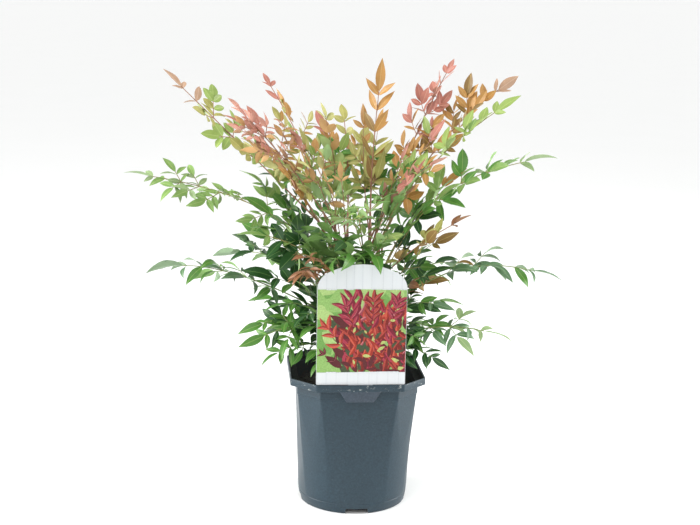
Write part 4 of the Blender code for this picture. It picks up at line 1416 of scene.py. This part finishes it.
class Foliage:
    """All leaflets, one batch for each tint, and the solids that each batch stands for."""

    def __init__(self):
        self.batches = {tint: Batch() for tint in TINTS}
        self.nodes = {tint: set() for tint in TINTS}

    def leaflet(self, tint, base, forward, normal, length, bend, breadth, rng, node=None):
        """Adds one leaflet. Returns False if it would cut the pot or the label."""
        normal = turned(across_to(forward, normal), forward, rng.uniform(-LEAFLET_ROLL, LEAFLET_ROLL))
        points, ways, ups = centreline(base, forward, normal, length, bend)
        if any(blocked(point) for point in points[1:]):
            return False
        width = length * mix(rng.uniform(*SLENDER), rng.uniform(*BROAD), breadth) / 2
        fold = rng.uniform(*LEAF_FOLD)
        twist = rng.uniform(-LEAF_TWIST, LEAF_TWIST)
        wave = rng.uniform(-LEAF_WAVE, LEAF_WAVE)
        base_power = mix(LEAF_BASE_POWER, ROUND_BASE_POWER, breadth)
        tip_power = mix(LEAF_TIP_POWER, ROUND_TIP_POWER, breadth)
        verts = [points[0]]
        for row in range(1, LEAF_ROWS):
            share = row / LEAF_ROWS
            half = max(width * leaf_half_width(share, base_power, tip_power), 2.2 * MIDRIB_HALF)
            turn = Matrix.Rotation(twist * share, 3, ways[row])
            side = turn @ ways[row].cross(ups[row])
            up = turn @ ups[row]
            middle = MIDRIB_HALF / half
            lift = fold * (1 - 0.55 * share) * half
            ripple = wave * half * math.sin(5 * share * math.pi)
            top = []
            for column in (*LEAF_COLUMNS[:2], -middle, middle, *LEAF_COLUMNS[2:]):
                raised = lift * abs(column) + ripple * column
                top.append(points[row] + side * half * column + up * raised)
            verts.extend(top)
            thick = LEAF_THICKNESS * (1 - 0.5 * share)
            for index, extra in enumerate(UNDERSIDE_DEPTHS, start=1):
                verts.append(top[index] - up * thick * extra)
        verts.append(points[-1])
        self.batches[tint].add(verts, LEAF_FACES, LEAF_SLOTS)
        if node:
            self.nodes[tint].add(node)
        return True


def leaflet_faces():
    """Faces of a leaflet from its foot to its tip: blade, underside and midrib."""
    faces = []
    slots = []
    per_row = 10
    tip = 1 + per_row * (LEAF_ROWS - 1)

    def upper(row, column):
        return 1 + per_row * (row - 1) + column

    def lower(row, column):
        if column in (0, 5):
            return upper(row, column)
        return 1 + per_row * (row - 1) + 5 + column

    def add(face, slot):
        faces.append(face)
        slots.append(slot)

    for column in range(5):
        after = column + 1
        top = RIB_SLOT if column == 2 else 0
        add((0, upper(1, after), upper(1, column)), top)
        add((0, lower(1, column), lower(1, after)), UNDERSIDE_SLOT)
        for row in range(1, LEAF_ROWS - 1):
            over = row + 1
            add((upper(row, column), upper(row, after), upper(over, after), upper(over, column)), top)
            add((lower(row, after), lower(row, column), lower(over, column), lower(over, after)),
                UNDERSIDE_SLOT)
        last = LEAF_ROWS - 1
        add((upper(last, column), upper(last, after), tip), top)
        add((lower(last, after), lower(last, column), tip), UNDERSIDE_SLOT)
    return faces, slots


LEAF_FACES, LEAF_SLOTS = leaflet_faces()


# The branching rule

def chord_direction(chord, upright, bend):
    """The direction in which a leaflet starts so that it ends where the chord does."""
    side = chord.cross(upright).normalized()
    return turned(chord.normalized(), side, math.degrees(bend) * 0.42)


def lean_up(direction, share):
    return (direction * (1 - share) + UP * share).normalized()


def add_twig(batch, points):
    count = len(points) - 1

    def radius_at(index, angle):
        return mix(TWIG_RADIUS, TWIG_TIP_RADIUS, index / count)

    add_tube(batch, points, radius_at, TWIG_SIDES)


class Growth:
    """One spray as it grows: where its leaflets and twigs go, its look and its own random draws."""

    def __init__(self, spray, foliage, twigs):
        self.spray = spray
        self.foliage = foliage
        self.twigs = twigs
        self.tints = spray.tints.split()
        self.arch = Arch(spray)
        self.rng = random.Random(f"{SEED} {spray.name}")
        self.inner = spray.name.startswith(INNER)
        self.node = None if self.inner else f"leaves_{spray.name}"
        self.size = spray.size * MILLIMETRE
        self.total = self.arch.lengths[-1]
        self.bare = self.total * spray.bare

    def tint_at(self, along):
        """The tints run from the spray's foot to its tip, with a little mixing."""
        place = min(max(along + self.rng.uniform(-TINT_MIXING, TINT_MIXING), 0.0), 0.999)
        return self.tints[int(place * len(self.tints))]

    def leaflet(self, tint, place, way, facing, length, bend, breadth=None):
        if breadth is None:
            breadth = self.spray.breadth
        return self.foliage.leaflet(tint, place, way, facing, length, bend, breadth, self.rng, self.node)

    def node_places(self):
        """Lengths along the line at which leaflets and twigs leave it, from the tip downwards."""
        terminal = min(self.size * self.spray.terminal, 0.45 * (self.total - self.bare))
        places = [self.total - terminal * 0.97]
        step = self.spray.step * MILLIMETRE
        while places[-1] - step > self.bare - 4 * MILLIMETRE:
            places.append(places[-1] - step)
            step *= STEP_GROWTH
        return places

    def grow(self):
        places = self.node_places()
        add_rachis(self.twigs, self.arch, places, self.bare, INNER_STALK if self.inner else 1.0, self.rng)
        self.grow_tip(places[0])
        for number, place in enumerate(places[1:], start=1):
            self.grow_node(place, single=number <= self.spray.singles)

    def grow_tip(self, place):
        """The leaflet at the spray's tip, and the pair just below it."""
        arch = self.arch
        share = arch.share_at(place)
        foot = arch.point(share)
        upright = arch.frame(share)[2]
        bend = self.spray.bend * self.rng.uniform(0.6, 1.1)
        way = chord_direction(arch.tip - foot, upright, bend)
        self.leaflet(self.tints[-1], foot, way, upright, (arch.tip - foot).length * 1.02, bend,
                     self.spray.breadth * 0.5)
        below = arch.share_at(place - PAIR_GAP * self.size)
        self.grow_pair(arch.point(below), arch.direction(below), upright, self.size * 0.85, 1.0)

    def grow_node(self, place, single):
        """A leaflet or a twig on each side of the line."""
        rng = self.rng
        share = self.arch.share_at(place)
        foot = self.arch.point(share)
        forward, sideways, upright = self.arch.frame(share)
        along = (place - self.bare) / (self.total - self.bare)
        girth = max(0.5, math.sin(math.pi * min(max(along, 0.02), 1.0) ** 0.8) ** 0.75)
        half_width = self.spray.half_width * MILLIMETRE * self.spray.reach * girth
        for side in (-1, 1):
            roll = rng.uniform(-TWIG_ROLL, TWIG_ROLL)
            outward = turned(sideways * side, forward, side * roll)
            angle = math.radians(rng.uniform(*TWIG_ANGLE))
            direction = (forward * math.cos(angle) + outward * math.sin(angle)).normalized()
            direction = lean_up(direction, self.spray.lean * 0.35)
            facing = turned(upright, forward, side * roll * 0.5)
            reach = half_width * rng.uniform(*TWIG_REACH) / math.sin(angle)
            if single:
                self.grow_single(foot, direction, facing, along)
            else:
                self.grow_twig(foot, direction, facing, reach, along)

    def grow_single(self, foot, direction, facing, along):
        for _ in range(TRIES):
            way = lean_up(direction, self.spray.lean * self.rng.uniform(0.3, 0.8))
            if self.leaflet(self.tint_at(along), foot, way, facing,
                            self.size * self.rng.uniform(*SINGLE_SIZE),
                            self.spray.bend * self.rng.uniform(0.6, 1.3)):
                return

    def grow_pair(self, place, way, upright, size, along):
        """Two opposite leaflets, smaller than the one that they flank."""
        rng = self.rng
        for side in (-1, 1):
            for _ in range(TRIES):
                leaf_way = turned(way, upright, side * rng.uniform(*PAIR_ANGLE))
                leaf_way = lean_up(leaf_way, self.spray.lean * rng.uniform(0.2, 0.8))
                facing = turned(upright, way, side * rng.uniform(-10, 30))
                if self.leaflet(self.tint_at(along), place, leaf_way, facing,
                                size * rng.uniform(*PAIR_SIZE), self.spray.bend * rng.uniform(0.5, 1.4)):
                    break

    def grow_twig(self, foot, direction, upright, reach, along):
        """A side twig with a leaflet at its end and pairs of leaflets down to its middle."""
        rng = self.rng
        lean = self.spray.lean
        size = self.size * rng.uniform(*SIZE_RANGE)
        length = max(0.25 * size, reach - 0.72 * size)
        end_way = lean_up(direction, lean * 0.6)
        middle = foot + direction * length / 2
        end = middle + end_way * length / 2
        for _ in range(TRIES):
            leaf_way = turned(lean_up(end_way, lean * 0.5), upright, rng.uniform(-14, 14))
            if self.leaflet(self.tint_at(along), end, leaf_way, upright, size,
                            self.spray.bend * rng.uniform(*BEND_RANGE)):
                break
        else:
            return
        add_twig(self.twigs, [foot, middle, end, end + leaf_way * MILLIMETRE])
        pairs = min(MOST_PAIRS, 1 + int(length / (PAIR_STEP * size)))
        for pair in range(pairs):
            place = max(0.0, length - (PAIR_GAP + pair * PAIR_STEP) * size)
            if place > length / 2:
                self.grow_pair(middle + end_way * (place - length / 2), end_way, upright, size, along)
            else:
                self.grow_pair(foot + direction * place, direction, upright, size, along)


def add_rachis(batch, arch, places, bare, scale, rng):
    """The line of a spray: a stalk with a sheath at its foot, and a knuckle where twigs leave it."""
    end = places[0]
    count = max(6, round(end / STALK_RING_STEP))
    lengths = [end * index / count for index in range(count + 1)]
    line = [arch.point(arch.share_at(length)) for length in lengths]
    shift = Vector((rng.uniform(0, 50), 0.0, 0.0))

    def radius_at(index, angle):
        length = lengths[index]
        if length < bare:
            radius = mix(STALK_RADIUS, STALK_TIP_RADIUS, length / bare)
        else:
            radius = mix(STALK_TIP_RADIUS, RACHIS_TIP_RADIUS, (length - bare) / (end - bare))
        sheath = 0.5 * math.exp(-length / (4 * MILLIMETRE))
        knuckle = max(math.exp(-((length - place) / KNUCKLE_LENGTH) ** 2) for place in places)
        around = Vector((math.cos(angle), math.sin(angle), length * 90))
        relief = 0.07 * noise.noise(around + shift)
        return scale * radius * (1 + sheath + KNUCKLE_SWELL * knuckle + relief)

    add_tube(batch, line, radius_at, STALK_SIDES)


def build_leaflets(foliage):
    """One piece for each tint that any spray has."""
    for tint, (top, under, rib, roughness, slot) in TINTS.items():
        batch = foliage.batches[tint]
        if not batch.faces:
            continue
        midrib = tuple(mix(blade, pale, 0.6) for blade, pale in zip(top, rib))
        materials = [
            leaf_material(f"leaf_{tint}", top, roughness),
            leaf_material(f"leaf_{tint}_under", under, roughness + 0.16),
            leaf_material(f"leaf_{tint}_rib", midrib, roughness + 0.05),
        ]
        piece = batch.build(f"leaflets_{tint}", materials, smooth_angle=50)
        finish_piece(piece, sorted(foliage.nodes[tint]))


def build_plant():
    foliage = Foliage()
    twigs = {colour: Batch() for colour in TWIG_COLOURS}
    stalks = {colour: [] for colour in TWIG_COLOURS}
    for row in SPRAYS:
        growth = Growth(Spray(*row), foliage, twigs[Spray(*row).twig])
        growth.grow()
        if not growth.inner:
            stalks[growth.spray.twig].append(f"stalk_{growth.spray.name}")
    for colour, batch in twigs.items():
        piece = batch.build(f"twigs_{colour}", [twig_material(f"twig_{colour}", TWIG_COLOURS[colour])])
        finish_piece(piece, stalks[colour])
    build_leaflets(foliage)


# Stage, light and camera

def build_stage():
    bm = bmesh.new()
    bmesh.ops.create_circle(bm, cap_ends=True, segments=96, radius=FLOOR_RADIUS)
    shader = Shader("floor_paper", (0.96, 0.965, 0.96), 0.6)
    shade = shader.noise(3.0, detail=3.0)
    shader.paint(shader.ramp(shade, [(0.3, (0.955, 0.962, 0.955)), (0.7, (0.965, 0.970, 0.965))]))
    floor = object_from_bmesh("floor", bm, [shader.material])
    floor.location.z = -FLOOR_GAP


def add_area(name, place, target, size, power):
    light = bpy.data.lights.new(name, "AREA")
    light.shape = "RECTANGLE"
    light.size, light.size_y = size
    light.energy = power
    thing = new_object(name, light)
    thing.location = place
    thing.rotation_euler = (Vector(target) - Vector(place)).to_track_quat("-Z", "Y").to_euler()
    thing.visible_camera = False


def add_sun(strength, softness):
    """A very wide overhead lamp, as even over the whole floor as a sky."""
    light = bpy.data.lights.new("overhead", "SUN")
    light.energy = strength
    light.angle = math.radians(softness)
    thing = new_object("overhead", light)
    thing.rotation_euler = SUN_DIRECTION.to_track_quat("-Z", "Y").to_euler()


def build_world():
    """White round the horizon, dimmer overhead, as in a white cove."""
    world = bpy.data.worlds.new("studio")
    world.use_nodes = True
    tree = world.node_tree
    place = tree.nodes.new("ShaderNodeTexCoord")
    axes = tree.nodes.new("ShaderNodeSeparateXYZ")
    ramp = tree.nodes.new("ShaderNodeValToRGB")
    tree.links.new(place.outputs["Generated"], axes.inputs["Vector"])
    tree.links.new(axes.outputs["Z"], ramp.inputs["Fac"])
    ramp.color_ramp.elements[0].position = 0.06
    ramp.color_ramp.elements[0].color = (HORIZON, HORIZON, HORIZON, 1.0)
    ramp.color_ramp.elements[1].position = 0.45
    ramp.color_ramp.elements[1].color = (ZENITH, ZENITH, ZENITH, 1.0)
    tree.links.new(ramp.outputs["Color"], tree.nodes["Background"].inputs["Color"])
    bpy.context.scene.world = world


def build_light():
    build_world()
    add_sun(SUN_STRENGTH, SUN_SOFTNESS)
    add_area("side_left", (-1.7, 0.0, 0.8), LIT_POINT, SIDE_SIZE, SIDE_POWER)
    add_area("side_right", (1.7, 0.1, 0.8), LIT_POINT, SIDE_SIZE, SIDE_POWER)
    bpy.context.scene.view_settings.view_transform = "Standard"


def build_camera():
    data = bpy.data.cameras.new("camera")
    data.lens = CAMERA_LENS
    data.sensor_width = SENSOR_WIDTH
    data.sensor_fit = "HORIZONTAL"
    data.clip_end = 2 * FLOOR_RADIUS
    camera = new_object("camera", data)
    turn = (Matrix.Rotation(math.radians(-CAMERA_YAW), 4, "Z")
            @ Matrix.Rotation(math.radians(90 - CAMERA_PITCH), 4, "X")
            @ Matrix.Rotation(math.radians(CAMERA_ROLL), 4, "Z"))
    camera.matrix_world = Matrix.Translation(CAMERA_PLACE) @ turn
    bpy.context.scene.camera = camera


build_camera()
build_light()
build_stage()
build_pot()
build_compost()
build_label()
build_canes()
build_plant()
